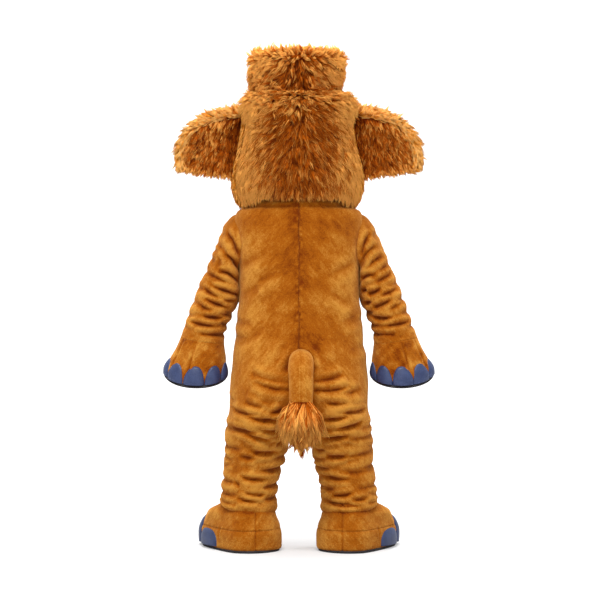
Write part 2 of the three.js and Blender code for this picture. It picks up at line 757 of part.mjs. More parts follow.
addPair("head_back", headWall(0, BACK_TURN), FUR_BROWN);
addPair("head_cheek", headWall(BACK_TURN, FACE_TURN), FUR_GOLD);
add("head_face", headWall(FACE_TURN, 360 - FACE_TURN), FUR_GOLD);
add("topknot_band", topknotBand(), FUR_BROWN);
add("topknot_lid", topknotLid(), FUR_GOLD);
addPair("ear_back", earPanel(-1), FUR_BROWN);
addPair("ear_front", earPanel(1), FUR_GOLD);
addPair("ear_rim", earRim(), FUR_GOLD);
add("trunk", trunk(), PLUSH_GOLD);
addPair("tusk", tusk(), TUSK_CREAM);
addPair("eye", eye(), EYE_DARK);

export default costume;
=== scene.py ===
import bpy
import numpy as np
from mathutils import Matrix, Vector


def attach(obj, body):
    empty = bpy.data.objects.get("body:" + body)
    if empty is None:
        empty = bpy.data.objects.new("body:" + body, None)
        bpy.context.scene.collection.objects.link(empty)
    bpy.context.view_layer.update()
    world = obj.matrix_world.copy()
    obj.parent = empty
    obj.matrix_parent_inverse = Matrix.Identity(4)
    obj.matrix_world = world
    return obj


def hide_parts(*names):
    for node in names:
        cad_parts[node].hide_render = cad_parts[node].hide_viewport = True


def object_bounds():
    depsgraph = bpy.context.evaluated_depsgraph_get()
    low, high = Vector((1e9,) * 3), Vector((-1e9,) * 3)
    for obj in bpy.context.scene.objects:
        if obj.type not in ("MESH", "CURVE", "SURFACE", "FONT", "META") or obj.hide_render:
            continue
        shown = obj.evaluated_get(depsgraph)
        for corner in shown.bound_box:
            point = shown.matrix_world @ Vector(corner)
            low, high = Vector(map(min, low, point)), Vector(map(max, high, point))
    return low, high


# A mammoth mascot costume, seen from behind: furry head with topknot and ears, plush jumpsuit with
# tail, hoof gloves and hoof shoe covers. Tables and shapes are in millimetres with heights above the
# floor, for the left side, at -x; the right side is its mirror image with folds and fur of its own.

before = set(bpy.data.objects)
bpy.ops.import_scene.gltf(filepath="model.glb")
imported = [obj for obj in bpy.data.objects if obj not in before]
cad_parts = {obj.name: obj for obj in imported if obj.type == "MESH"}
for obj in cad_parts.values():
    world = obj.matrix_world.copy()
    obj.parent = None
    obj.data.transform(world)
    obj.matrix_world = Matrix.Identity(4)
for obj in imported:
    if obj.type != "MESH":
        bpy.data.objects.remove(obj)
CAD_LOW, CAD_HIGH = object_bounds()

LEFT, RIGHT = -1, 1
NECK_UP = 1385  # height of the frame's origin
NECK_SEAM = 1352
ANKLE_UP = 192
SHOE_X = 198
SPLAY = 22  # degrees that the toes are turned out


def rows(columns, values):
    """A table as one array for each column, with "row" for the rows' numbers."""
    made = dict(zip(columns.split(), np.array(values, float).T))
    made["row"] = np.arange(len(values), dtype=float)
    return made


# The suit's sections; below the crotch they are one leg's, about its centre.
BODY = rows("up centre half back front round", [
    [1385, 0, 146, 152, 105, 2], [1368, 0, 190, 173, 130, 2.2], [1350, 0, 225, 183, 165, 2.3],
    [1336, 0, 245, 187, 172, 2.5], [1300, 0, 255, 191, 178, 2.5], [1250, 0, 251, 195, 184, 2.5],
    [1200, 0, 243, 197, 190, 2.5], [1150, 0, 239, 197, 195, 2.5], [1100, 0, 239, 196, 200, 2.4],
    [1000, 0, 238, 190, 210, 2.4], [920, 0, 246, 188, 216, 2.4], [840, 0, 252, 190, 216, 2.4],
    [760, 2, 261, 202, 210, 2.4], [700, 14, 255, 210, 203, 2.4], [650, 36, 236, 213, 196, 2.4],
    [600, 66, 208, 210, 189, 2.3], [560, 93, 184, 202, 181, 2.2], [530, 114, 168, 193, 173, 2.2],
    [505, 131, 155, 183, 166, 2.1], [480, 144.2, 144, 172, 157, 2], [444, 161, 131, 155, 146, 2],
    [402, 170, 124, 138, 134, 2], [352, 178, 119, 123, 124, 2], [302, 187, 114, 115, 117, 2],
    [256, 194, 111, 112, 114, 2], [192, 198, 111, 112, 113, 2],
])
# The arm's rings, by their points under the arm and over it.
ARM = rows("under_out under_up over_out over_up depth dip", [
    [238, 1117, 234, 1342, 98, 0], [236, 1088, 263, 1325, 100, 0], [234, 1066, 295, 1290, 98, 0],
    [233, 1048, 316, 1240, 95, 0], [232, 1032, 338, 1188, 92, 0], [232, 1012, 363, 1125, 89, 0],
    [237, 986, 393, 1056, 86, 0], [262, 943, 414, 1000, 84, 0], [281, 896, 438, 937, 82, 0],
    [296, 850, 458, 876, 82, 0], [297, 817, 470, 841, 83, 4], [294, 785, 490, 797, 90, 12],
    [289, 745, 513, 757, 98, 28], [288, 712, 528, 722, 103, 42], [291, 698, 528, 706, 102, 48],
])
WRIST, RIM = 10, 14  # the arm's rows at the glove's seam and at its lower edge
# The shoe cover: round the heel, round the toes, and how far the toes lie ahead.
SHOE = rows("up heel toe long", [
    [192, 112, 112, 0], [166, 111, 118, 48], [136, 112, 128, 95],
    [100, 121, 137, 129], [58, 130, 142, 141], [10, 130, 140, 141],
])
FOOT_LINE, FOOT_HEM = 3.35, 5  # the shoe cover's rows at the seam round the foot and at the sole
HEAD = rows("up half cheek back front round", [
    [1351.2, 220, 0, 173, 164, 2.3], [1372, 232, 6, 194, 187, 2.4], [1400, 241, 14, 210, 208, 2.5],
    [1445, 248, 18, 223, 228, 2.5], [1500, 249, 12, 230, 238, 2.5], [1560, 244, 3, 232, 240, 2.5],
    [1640, 234, 0, 230, 236, 2.5], [1710, 226, 0, 222, 224, 2.6], [1760, 224, 0, 208, 210, 2.6],
    [1792, 207, 0, 186, 190, 2.5], [1815, 183, 0, 162, 164, 2.6], [1850, 184, 0, 160, 162, 2.8],
    [1905, 189, 0, 163, 165, 3], [1945, 189, 0, 163, 165, 3], [1968, 176, 0, 150, 152, 3],
])
TOPKNOT, HEAD_TOP = 10, 14  # the head's rows at the foot and at the top of the topknot
BACK_TURN, FACE_TURN = 75, 135  # degrees from the middle of the back to the cheek and to the face
EAR = dict(top=1748, bottom=1482, tip_out=488, tip_up=1548, hem_out=484, hem_up=1508, square=2.3)
EAR_MIDDLE = (330, 1590)  # how far out and how high
EAR_TIP = 0.8  # the share of the ear's outline that is above its tip
EAR_RIM = 38
TAIL_X = 8
# The tail's rings, by their points nearest to the seat and farthest from it.
TAIL = rows("near_out near_up far_out far_up half", [
    [206, 706, 206, 800, 47], [217, 694, 240, 794, 48], [222, 684, 276, 766, 49],
    [224, 670, 300, 722, 47], [225, 640, 308, 658, 46], [234, 596, 302, 596, 43],
])
TUFT = rows("up half depth", [
    [614, 40, 36], [597, 44, 40], [570, 46, 39], [528, 44, 34], [490, 33, 24], [455, 18, 13],
    [436, 6, 5],
])
TUFT_OUT = 266
TRUNK = rows("out up half lean", [
    [0, 1548, 62, 0], [268, 1536, 60, 20], [306, 1494, 54, 52], [322, 1440, 48, 77],
    [330, 1386, 43, 86], [346, 1338, 40, 72], [374, 1306, 38, 54],
])
TUSK = rows("along out up radius", [
    [92, 0, 1474, 25], [100, 266, 1450, 24], [106, 300, 1440, 21], [104, 336, 1452, 16],
    [98, 362, 1478, 9],
])
EYE = dict(side=92, up=1612, radius=21, proud=10)
# Where the middles of the nails, darts and tucks lie, in degrees round the glove and the shoe cover.
GLOVE_NAILS = {LEFT: [7, 46.5, 88, 127.5, 164], RIGHT: [12, 51, 90, 129, 166]}
GLOVE_DARTS = [(78, 71), (36, 31)]  # at the wrist and at the nails
SHOE_NAILS = [-66, -22, 23, 76, 118.5]
SHOE_TUCKS = [-88, -44, 0, 46, 98, 134]

# Folds: how far from the middle plane and how high each begins and ends, how deep
# it is and how wide its trough.
LEG_FOLDS = {
    LEFT: [
        (178, 703, 42, 670, 10, 9), (170, 670, 40, 640, 12, 9), (255, 562, 150, 544, 11, 8),
        (202, 534, 88, 520, 13, 8), (110, 548, 64, 564, 11, 8), (264, 492, 166, 472, 12, 8),
        (204, 464, 116, 440, 13, 8), (134, 478, 82, 477, 10, 8), (180, 394, 84, 391, 12, 8),
        (88, 418, 65, 432, 12, 7), (232, 377, 171, 369, 7, 7), (140, 318, 66, 336, 14, 8),
        (290, 403, 270, 360, 7, 7), (222, 294, 130, 285, 12, 7), (255, 278, 232, 261, 8, 7),
        (130, 254, 85, 271, 12, 7), (209, 231, 135, 225, 12, 6), (298, 207, 250, 187, 9, 6),
        (236, 210, 162, 200, 11, 6), (135, 204, 90, 219, 11, 6),
        (302, 505, 236, 480, 9, 9), (302, 427, 240, 404, 9, 9), (310, 293, 252, 272, 9, 8),
        (312, 243, 262, 221, 9, 8), (48, 384, 96, 366, 10, 8), (206, 590, 146, 572, 9, 9),
    ],
    RIGHT: [
        (60, 674, 168, 698, 10, 9), (58, 640, 190, 653, 13, 9), (112, 591, 185, 588, 11, 8),
        (153, 552, 257, 562, 12, 8), (98, 525, 186, 535, 13, 8), (158, 488, 242, 512, 12, 8),
        (99, 447, 186, 460, 13, 8), (209, 446, 283, 472, 9, 8), (105, 376, 182, 379, 12, 8),
        (67, 397, 100, 400, 11, 7), (182, 374, 292, 420, 7, 8), (73, 338, 110, 324, 13, 7),
        (90, 298, 192, 287, 12, 7), (164, 312, 281, 328, 6, 8), (87, 256, 133, 246, 10, 7),
        (133, 222, 206, 230, 12, 6), (201, 206, 272, 212, 10, 6), (262, 191, 312, 200, 9, 6),
        (101, 200, 243, 184, 11, 6), (302, 508, 244, 486, 9, 9), (302, 352, 250, 330, 9, 8),
        (310, 269, 246, 250, 10, 8), (312, 214, 262, 232, 8, 8), (60, 352, 96, 366, 9, 8),
        (160, 624, 236, 640, 9, 10),
    ],
}
BACK_FOLDS = {
    LEFT: [
        (224, 1122, 143, 1160, 4, 12), (166, 1057, 90, 1092, 5, 14), (207, 1016, 144, 1052, 4, 13),
        (231, 812, 144, 872, 4, 14), (34, 790, 50, 712, 8, 10), (52, 818, 84, 748, 5, 11),
        (250, 916, 196, 892, 4, 11), (254, 856, 206, 838, 3.5, 12),
    ],
    RIGHT: [
        (128, 1091, 219, 1143, 4, 13), (128, 1015, 202, 965, 4, 13), (171, 902, 232, 940, 5, 14),
        (38, 788, 56, 710, 8, 10), (58, 820, 90, 750, 5, 11), (252, 928, 200, 900, 4, 12),
        (260, 822, 208, 794, 4, 13),
    ],
}
SLEEVE_FOLDS = {
    LEFT: [
        (252, 1272, 237, 1188, 6, 7), (281, 1252, 235, 1162, 14, 8), (323, 1210, 291, 1173, 7, 8),
        (291, 1166, 240, 1116, 14, 8), (352, 1160, 314, 1130, 6, 8), (313, 1100, 240, 1065, 14, 7),
        (367, 1094, 291, 1057, 9, 7), (331, 1040, 240, 1010, 13, 7), (376, 1040, 317, 998, 11, 7),
        (364, 991, 278, 960, 14, 7), (292, 988, 251, 988, 12, 7), (403, 977, 343, 948, 8, 7),
        (372, 926, 300, 918, 14, 7), (314, 937, 276, 936, 10, 7), (432, 904, 340, 886, 12, 7),
        (394, 857, 301, 858, 12, 7), (431, 846, 386, 835, 9, 7), (318, 1266, 300, 1250, 4, 9),
        (343, 1191, 310, 1168, 6, 8), (376, 1111, 348, 1090, 5, 9), (400, 1048, 362, 1027, 6, 8),
        (421, 990, 386, 974, 6, 9), (440, 936, 396, 922, 6, 8), (452, 889, 426, 880, 5, 8),
        (262, 942, 302, 950, 9, 8), (280, 893, 306, 900, 8, 7), (252, 1010, 286, 1020, 8, 8),
    ],
    RIGHT: [
        (279, 1252, 239, 1163, 14, 8), (305, 1200, 241, 1130, 11, 8), (335, 1160, 264, 1108, 9, 8),
        (243, 1072, 297, 1087, 14, 7), (308, 1063, 365, 1094, 10, 7), (247, 1028, 265, 1031, 14, 7),
        (269, 1013, 322, 1034, 12, 7), (326, 1008, 386, 1035, 10, 7), (254, 976, 283, 982, 13, 7),
        (287, 958, 363, 989, 14, 7), (363, 958, 410, 981, 8, 7), (285, 926, 363, 918, 14, 7),
        (344, 886, 434, 905, 12, 7), (303, 864, 377, 852, 12, 7), (377, 838, 417, 847, 8, 7),
        (310, 838, 355, 828, 9, 7), (310, 1241, 282, 1214, 5, 9), (355, 1132, 320, 1106, 6, 8),
        (385, 1060, 353, 1041, 6, 9), (413, 1001, 376, 984, 6, 8), (433, 947, 402, 937, 5, 9),
        (451, 894, 414, 883, 6, 8), (264, 948, 300, 944, 9, 8), (284, 898, 312, 892, 8, 7),
        (243, 1120, 262, 1150, 8, 8),
    ],
}
LATTICE = np.random.default_rng(11).uniform(-1, 1, 4096)
CORNER_STEPS = np.array([73856093, 19349663, 83492791])  # primes that scatter the lattice's corners
SEED_STEP = 17.3  # how far apart on the lattice the seeds' patterns begin


def read(table, names, key, at):
    """A table's columns at any place of its key: each is a cubic between neighbouring rows whose slope
    at a row is the harmonic mean of the slopes beside it, or 0 at a turning point."""
    if " " in names:
        return [read(table, name, key, at) for name in names.split()]
    x, y = table[key], table[names]
    if x[-1] < x[0]:
        x, y = x[::-1], y[::-1]
    slope = np.diff(y) / np.diff(x)
    before, after = slope[:-1], slope[1:]
    same = before * after > 0
    mean = np.where(same, 2 * before * after / np.where(same, before + after, 1), 0)
    tangent = np.concatenate((slope[:1], mean, slope[-1:]))
    at = np.clip(at, x[0], x[-1])
    i = np.clip(np.searchsorted(x, at, side="right") - 1, 0, len(x) - 2)
    span = x[i + 1] - x[i]
    t = (at - x[i]) / span
    return (y[i] * (1 + 2 * t) * (1 - t) ** 2 + tangent[i] * span * t * (1 - t) ** 2
            + y[i + 1] * t * t * (3 - 2 * t) + tangent[i + 1] * span * t * t * (t - 1))


def bend(x, power):
    """x to a power, with its sign kept."""
    return np.sign(x) * np.abs(x) ** power


def smooth(x, low, high):
    """0 below low, 1 above high, and an even S between them."""
    t = np.clip((x - low) / (high - low), 0, 1)
    return t * t * (3 - 2 * t)


def lerp(a, b, share):
    return a + (b - a) * share


def bell(x):
    """The bell curve, 1 at 0."""
    return np.exp(-(x**2))


def unit(v):
    return v / np.maximum(np.linalg.norm(v, axis=-1, keepdims=True), 1e-9)


def point(x, y, up):
    return np.stack(np.broadcast_arrays(x, y, up), -1)


def clouds(points, size, seed=0):
    """Smooth random values from -1 to 1: random numbers on a lattice of one size, blended by an S curve
    between its eight nearest corners."""
    at = points / size + seed * SEED_STEP
    low = np.floor(at).astype(int)
    t = at - low
    t = t * t * (3 - 2 * t)
    total = 0
    for corner in np.ndindex(2, 2, 2):
        i = (low + corner) @ CORNER_STEPS
        total = total + np.where(corner, t, 1 - t).prod(-1) * LATTICE[i & (len(LATTICE) - 1)]
    return total


# Forms ----------------------------------------------------


def suit_start(up):
    """The turn at which the suit's oval leaves the middle plane, or 0, its inner point, where the leg
    stands clear of that plane."""
    half, centre, squareness = read(BODY, "half centre round", "up", up)
    return np.arccos(np.clip(centre / half, 0, 1) ** (squareness / 2))


def suit_point(share, up, front):
    """The suit's left side at a share of the way round, from the middle plane or the inseam, 0, to the
    side, 1: an oval of the section's squareness about the leg's centre, cut off at the middle plane."""
    half, centre, squareness, back, ahead = read(BODY, "half centre round back front", "up", up)
    turn = lerp(suit_start(up), np.pi, share)
    x = half * bend(np.cos(turn), 2 / squareness) - centre
    return point(x, (ahead if front else -back) * bend(np.sin(turn), 2 / squareness), up)


def suit_side(y, up):
    """How far out the suit's side lies, by the same oval."""
    half, back, front, squareness = read(BODY, "half back front round", "up", up)
    left = 1 - np.abs(y / np.where(y < 0, back, front)) ** squareness
    return half * np.maximum(left, 0) ** (1 / squareness)


def arm_point(turn, row):
    """The left arm's ring between its lowest and highest points, at a turn from the outer line, 0, by
    the back, 90, to the line under the arm, 180."""
    angle = np.radians(turn)
    under_out, under_up, over_out, over_up = read(ARM, "under_out under_up over_out over_up", "row", row)
    depth, dip = read(ARM, "depth dip", "row", row)
    out, up = ((low + high) / 2 + (high - low) / 2 * np.cos(angle)
               for low, high in ((under_out, over_out), (under_up, over_up)))
    return point(-out, -depth * np.sin(angle), up - dip * np.sin(angle))


def sleeve_point(turn, row):
    """The arm's ring, drawn to the suit's side over the first row."""
    made = arm_point(turn, row)
    side = -suit_side(made[..., 1], made[..., 2])
    share = np.clip(row, 0, 1)
    made[..., 0] = np.where(row < 1, lerp(side, made[..., 0], share), made[..., 0])
    return made


def shoe_point(bearing, row):
    """The left shoe cover: a circle for the heel, drawn out ahead along the splay for the toes."""
    angle, splay = np.radians(bearing), np.radians(SPLAY)
    up, heel, toes, long = read(SHOE, "up heel toe long", "row", row)
    toe = smooth(np.cos(angle - splay), -0.75, 0.1)
    ahead, radius = long * toe, lerp(heel, toes, toe)
    back = 1 + 0.06 * (np.cos(angle) < 0)
    x = -SHOE_X - ahead * np.sin(splay) - radius * np.sin(angle)
    return point(x, ahead * np.cos(splay) + back * radius * np.cos(angle), up)


def head_point(turn, row):
    """The head's oval at a turn from the middle of the back, 0, by the left side, 90, with a cheek that
    swells as a bell round the turn 108."""
    angle = np.radians(turn)
    up, half, cheek, back, front, squareness = read(HEAD, "up half cheek back front round", "row", row)
    wide = half + cheek * bell((np.abs(turn) - 108) / 22)
    deep = np.where(np.cos(angle) > 0, back, front)
    power = 2 / squareness
    return point(-wide * bend(np.sin(angle), power), -deep * bend(np.cos(angle), power), up)


def face_depth(x, up):
    """How far in front of the middle plane the face lies."""
    half, front, squareness = read(HEAD, "half front round", "up", up)
    share = np.clip(np.abs(x) / half, 0, 1)
    return front * (1 - share**squareness) ** (1 / squareness)


def ear_edge(share, inset):
    """The ear's outline drawn in by inset: an oval's quarter to the tip, then straight to the hem."""
    start = read(HEAD, "half", "up", EAR["top"]) - 10
    angle = np.radians(90) * (1 - np.clip(share / EAR_TIP, 0, 1))
    power = 2 / EAR["square"]
    t = np.clip((share - EAR_TIP) / (1 - EAR_TIP), 0, 1)
    out = start + (EAR["tip_out"] - inset - start) * bend(np.cos(angle), power)
    up = EAR["tip_up"] + (EAR["top"] - inset - EAR["tip_up"]) * bend(np.sin(angle), power)
    return lerp(out, EAR["hem_out"] - inset, t), lerp(up, EAR["hem_up"], t)


def ear_point(share, reach, face, inset):
    """The ear's panel from its root on the head, reach 0, to its rim, 1, domed between them."""
    out, rise = ear_edge(share, EAR_RIM - 9)
    up = lerp(EAR["top"] - EAR_RIM, EAR["bottom"], share)
    root = read(HEAD, "half", "up", up) - 14
    dome = 13.3 - inset + 8 * np.sin(np.pi * reach) ** 2
    return point(-lerp(root, out, reach), face * dome, lerp(up, rise, reach))


def rim_point(turn, share, inset):
    """The ear's rim: an oval swept along the outline."""
    (near, near_up), (far, far_up) = ear_edge(share, EAR_RIM), ear_edge(share, 0)
    angle = np.radians(turn)
    reach = 0.5 + (0.5 - inset / EAR_RIM) * np.cos(angle)
    return point(-lerp(near, far, reach), (19 - inset) * np.sin(angle), lerp(near_up, far_up, reach))


def tail_point(turn, row):
    """The tail's ring between its points nearest to the seat and farthest from it; the first ring lies
    on the seat."""
    angle = np.radians(turn)
    near_out, near_up, far_out, far_up, half = read(
        TAIL, "near_out near_up far_out far_up half", "row", row)
    share = 0.5 + 0.5 * np.cos(angle)
    up = lerp(near_up, far_up, share)
    made = point(TAIL_X + half * np.sin(angle), -lerp(near_out, far_out, share), up)
    seat = -read(BODY, "back", "up", made[..., 2]) - 1
    made[..., 1] = np.where(row <= 0, seat, made[..., 1])
    return made


def tuft_point(turn, row):
    """The tuft's core: level ovals about its middle line."""
    angle = np.radians(turn)
    up, half, depth = read(TUFT, "up half depth", "row", row)
    return point(TAIL_X + half * np.sin(angle), depth * np.cos(angle) - TUFT_OUT, up)


def lid_point(turn, share):
    """The topknot's lid: its outline drawn in to the middle, under a low dome."""
    edge = head_point(turn, np.float64(HEAD_TOP))
    up = edge[..., 2] + 20 * (1 - share**2.4) - 12
    return point(edge[..., 0] * share, edge[..., 1] * share, up)


# Grids ----------------------------------------------------


def even(surface, across, along, shares):
    """A grid whose columns cover the wanted shares of each row's length: the surface is walked finely
    in each row, and the places are read off from the way covered."""
    u, v = across[None, :], along[:, None]
    dense = surface(u, v)
    run = np.linalg.norm(np.diff(dense, axis=1), axis=-1).cumsum(1)
    run = np.concatenate((np.zeros((len(along), 1)), run), 1)
    places = np.array([np.interp(shares, r / r[-1], across) for r in run])
    return surface(places, np.broadcast_to(v, places.shape)), run[:, -1]


def even_rows(surface, across, along, count):
    """Rows at even steps of the surface's mean length between the first and the last of along."""
    dense = surface(across[None, :], along[:, None])
    run = np.linalg.norm(np.diff(dense, axis=0), axis=-1).mean(1).cumsum()
    return np.interp(np.linspace(0, run[-1], count), np.append(0, run), along)


def edged(length, pitch, fine=(1.5, 3, 5, 8, 12)):
    """Shares of a length at one pitch, closer at both ends, four to each coarse step."""
    ends = np.append(0, fine) / length
    inner = int(round((length - 2 * fine[-1]) / pitch)) - 1
    inner += -(2 * len(ends) + inner - 1) % 4
    middle = np.linspace(ends[-1], 1 - ends[-1], inner + 2)[1:-1]
    return np.concatenate((ends, middle, 1 - ends[::-1]))


def ring(count):
    """Even shares of a closed ring."""
    return np.linspace(0, 1, count, endpoint=False)


def outward(grid, closed, facing=None):
    """Unit normals by central differences, turned away from the grid's middle or towards facing, and
    whether the grid's own faces look the other way."""
    wide = np.concatenate((grid[:, -1:], grid, grid[:, :1]), 1) if closed else grid
    normal = unit(np.cross(np.gradient(wide, axis=1), np.gradient(wide, axis=0)))
    normal = normal[:, 1:-1] if closed else normal
    wanted = grid - grid.mean((0, 1)) if facing is None else np.array(facing, float)
    flipped = (normal * wanted).sum() < 0
    return (-normal if flipped else normal), flipped


def grid_faces(count_rows, count_columns, closed, first=0):
    """The four corners of each face of a grid whose points are numbered row by row."""
    across = np.arange(count_columns if closed else count_columns - 1)
    low = np.arange(count_rows - 1)[:, None] * count_columns
    a, b = low + across, low + (across + 1) % count_columns
    return first + np.stack((a, b, b + count_columns, a + count_columns), -1).reshape(-1, 4)


def stitch(fine, coarse, ratio):
    """Triangles between an edge and one with a ratioth of its steps, for faces on the left of fine."""
    i = np.arange(len(fine) - 1)
    j = np.arange(len(coarse) - 1)
    half = ratio // 2
    sides = np.stack((fine[i + 1], fine[i], coarse[(i + ratio - half) // ratio]), -1)
    return np.concatenate((sides, np.stack((coarse[j], coarse[j + 1], fine[j * ratio + half]), -1)))


def hollows(moved):
    """Painted shading of a cloth: painted shade, up to 1 in a trough 12 deep, and a little painted
    highlight on a roll.
    """
    moved = moved.ravel()
    return np.where(moved < 0, np.minimum(-moved / 12, 1), np.maximum(-moved / 22, -0.6))


def shell(grid, normals, flipped, moved, thick, closed, ratio=4):
    """A closed wall: the grid moved along its normals, an inner face through every ratioth point that
    stays thick inside the deepest place near it, and triangles between their edges."""
    reach = ((ratio, ratio), (0, 0))
    near = np.pad(moved, reach, mode="edge")
    near = np.pad(near, reach[::-1], mode="wrap" if closed else "edge")
    window = np.lib.stride_tricks.sliding_window_view(near, (2 * ratio + 1, 2 * ratio + 1))
    low = window.min((2, 3))
    outer = grid + normals * moved[..., None]
    inner = (grid + normals * (low - thick)[..., None])[::ratio, ::ratio]
    (count_rows, count_columns), (rows_in, columns_in) = outer.shape[:2], inner.shape[:2]
    first = count_rows * count_columns
    fine = np.arange(first).reshape(count_rows, count_columns)
    coarse = first + np.arange(rows_in * columns_in).reshape(rows_in, columns_in)
    if closed:
        fine = np.concatenate((fine, fine[:, :1]), 1)
        coarse = np.concatenate((coarse, coarse[:, :1]), 1)
    edges = [(fine[0], coarse[0]), (fine[-1, ::-1], coarse[-1, ::-1])]
    if not closed:
        edges += [(fine[:, -1], coarse[:, -1]), (fine[::-1, 0], coarse[::-1, 0])]
    strips = np.concatenate([stitch(*edge, ratio) for edge in edges])
    quads = np.concatenate((
        grid_faces(count_rows, count_columns, closed),
        grid_faces(rows_in, columns_in, closed, first)[:, ::-1],
    ))
    places = np.concatenate((outer.reshape(-1, 3), inner.reshape(-1, 3)))
    # Painted shade in the troughs and painted highlight on the rolls; the hidden inner face takes a
    # middle value.
    hollow = np.concatenate((hollows(moved), np.full(rows_in * columns_in, 0.5)))
    return body(places, quads, strips, flipped, hollow=hollow)


def solid(grid, moved=None, facing=None):
    """A closed body: a tube's grid, moved along its normals, with each end closed round its middle."""
    normals, flipped = outward(grid, True, facing)
    count_rows, count_columns = grid.shape[:2]
    outer = grid if moved is None else grid + normals * moved[..., None]
    ends = np.stack((outer[0].mean(0), outer[-1].mean(0)))
    total = count_rows * count_columns
    i = np.arange(count_columns)
    after = (i + 1) % count_columns
    last = total - count_columns
    fans = np.concatenate((
        np.stack((after, i, np.full_like(i, total)), -1),
        np.stack((last + i, last + after, np.full_like(i, total + 1)), -1),
    ))
    # Painted shade in the troughs and painted highlight on the rolls, where the body is moved.
    hollow = np.zeros(total + 2)
    if moved is not None:
        hollow[:total] = hollows(moved)
    places = np.concatenate((outer.reshape(-1, 3), ends))
    quads = grid_faces(count_rows, count_columns, True)
    return body(places, quads, fans, flipped, hollow=hollow)


# The third value holds painted shade in creases and painted highlight on rolls.
VALUES = ("tone", "along", "hollow")  # what a mesh's points hold for its finish


def body(places, quads, triangles, flipped=False, **values):
    """Points with their faces and their values: tone, along, the painted shade of creases and highlight
    of rolls, and the pattern's place uv.
    """
    if flipped:
        quads, triangles = quads[:, ::-1], triangles[:, ::-1]
    count = len(places)
    made = dict(places=places, quads=quads, triangles=triangles, uv=np.zeros((count, 2)))
    for name in VALUES:
        made[name] = np.zeros(count)
    made.update(values)
    return made


def joined(parts):
    """Several bodies as one."""
    start = np.cumsum([0] + [len(p["places"]) for p in parts])
    made = {n: np.concatenate([p[n] for p in parts]) for n in ("places", "uv", *VALUES)}
    for faces in ("quads", "triangles"):
        made[faces] = np.concatenate([p[faces] + s for p, s in zip(parts, start)])
    return made


# Creases and seams ----------------------------------------

CREASE_REACH = 5  # in widths
TROUGH_DEEP = 1.25
ROLL_HIGH, ROLL_AWAY, ROLL_WIDE = 0.85, 2.4, 1.45
ROLL_MOST = 15


def suit_around(around, up):
    """The suit's left side by one measure: the front from the inseam, -1 to 0, the back to the side, 0
    to 1, and the front from the side, 1 to 2."""
    share = np.where(around < 0, -around, np.where(around > 1, 2 - around, around))
    back = ((around >= 0) & (around <= 1))[..., None]
    return np.where(back, suit_point(share, up, False), suit_point(share, up, True))


def suit_place(out, up):
    """Where round the suit's back a place lies, by the inverse of its oval; near the side or the inseam
    it is moved on past it, so that a crease runs round the edge."""
    half, centre, squareness = read(BODY, "half centre round", "up", up)
    start = suit_start(up)
    turn = np.arccos(np.clip(bend((centre - out) / half, squareness / 2), -1, 1))
    share = (turn - start) / (np.pi - start)
    share = np.where(share > 0.82, share + 0.2, share)
    return np.where((share < 0.15) & (centre >= half), share - 0.2, share)


def sleeve_place(out, up):
    """The turn and the row of the sleeve's place that lies nearest behind a point; near the outer line
    or the line under the arm the turn is moved on past it."""
    turns, rows_at = np.meshgrid(np.linspace(0, 180, 61), np.linspace(0, WRIST, 121))
    places = sleeve_point(turns, rows_at)
    nearest = np.hypot(places[..., 0] + out, places[..., 2] - up).argmin()
    turn, row = turns.flat[nearest], rows_at.flat[nearest]
    return np.minimum(turn - 30 * (turn < 25) + 30 * (turn > 152), 158 if row < 6.6 else 210), row


def suit_line(out_a, up_a, out_b, up_b, front):
    """A crease of the suit between two places, sagging a little; in front it is mirrored in the side."""
    t = np.linspace(-0.1, 1.1, 13)
    around = lerp(suit_place(out_a, up_a), suit_place(out_b, up_b), t)
    if front:
        around = np.clip(2 - around, 1.06, 2)
    sag = 0.035 * np.hypot(out_a - out_b, up_a - up_b) * np.sin(np.pi * t)
    return suit_around(around, lerp(up_a, up_b, t) - sag)


def sleeve_line(out_a, up_a, out_b, up_b, front):
    """The same on the sleeve."""
    t = np.linspace(-0.08, 1.08, 13)
    (turn_a, row_a), (turn_b, row_b) = sleeve_place(out_a, up_a), sleeve_place(out_b, up_b)
    turn = lerp(turn_a, turn_b, t)
    if front:
        turn = 360 - np.clip(turn, 12, 168)
    return sleeve_point(turn, lerp(row_a, row_b, t) + 0.05 * np.sin(np.pi * t))


def crease_lines(line, wider, behind, before):
    """Creases as lines of points, each with its depth and its width."""
    return [(line(*ends, front), depth, wider * width)
            for front, folds in ((False, behind), (True, before)) for *ends, depth, width in folds]


def creased(grid, lines):
    """How far creases move a cloth's grid. A crease is a line of points on the cloth with a depth and a
    width. Its trough falls off with the distance d, in widths, as e to the minus d to the 1.3, and along
    the line as a sine to the 0.6. The cloth that it takes up stands beside it as a soft roll, a bell
    about 2.4 widths away, and rolls of neighbours add up to at most 15."""
    trough, roll = np.zeros(grid.shape[:2]), np.zeros(grid.shape[:2])
    for line, depth, width in lines:
        reach = CREASE_REACH * width
        near = ((grid > line.min(0) - reach) & (grid < line.max(0) + reach)).all(-1)
        if not near.any():
            continue
        step = np.diff(line, axis=0)
        rel = grid[near][:, None] - line[:-1]
        s = np.clip((rel * step).sum(-1) / (step**2).sum(-1), 0, 1)
        away = np.linalg.norm(rel - s[..., None] * step, axis=-1)
        k = away.argmin(-1)
        i = np.arange(len(k))
        held = depth * np.sin(np.pi * (k + s[i, k]) / len(step)) ** 0.6
        away = away[i, k] / width
        trough[near] = np.maximum(trough[near], TROUGH_DEEP * held * np.exp(-(away**1.3)))
        roll[near] += ROLL_HIGH * held * bell((away - ROLL_AWAY) / ROLL_WIDE)
    return ROLL_MOST * np.tanh(roll / ROLL_MOST) - trough


def turned(normals):
    """1 where a cloth looks backwards or forwards, less at the sides, where it is pulled flatter."""
    return 0.5 + 0.5 * np.abs(normals[..., 1]) ** 0.7


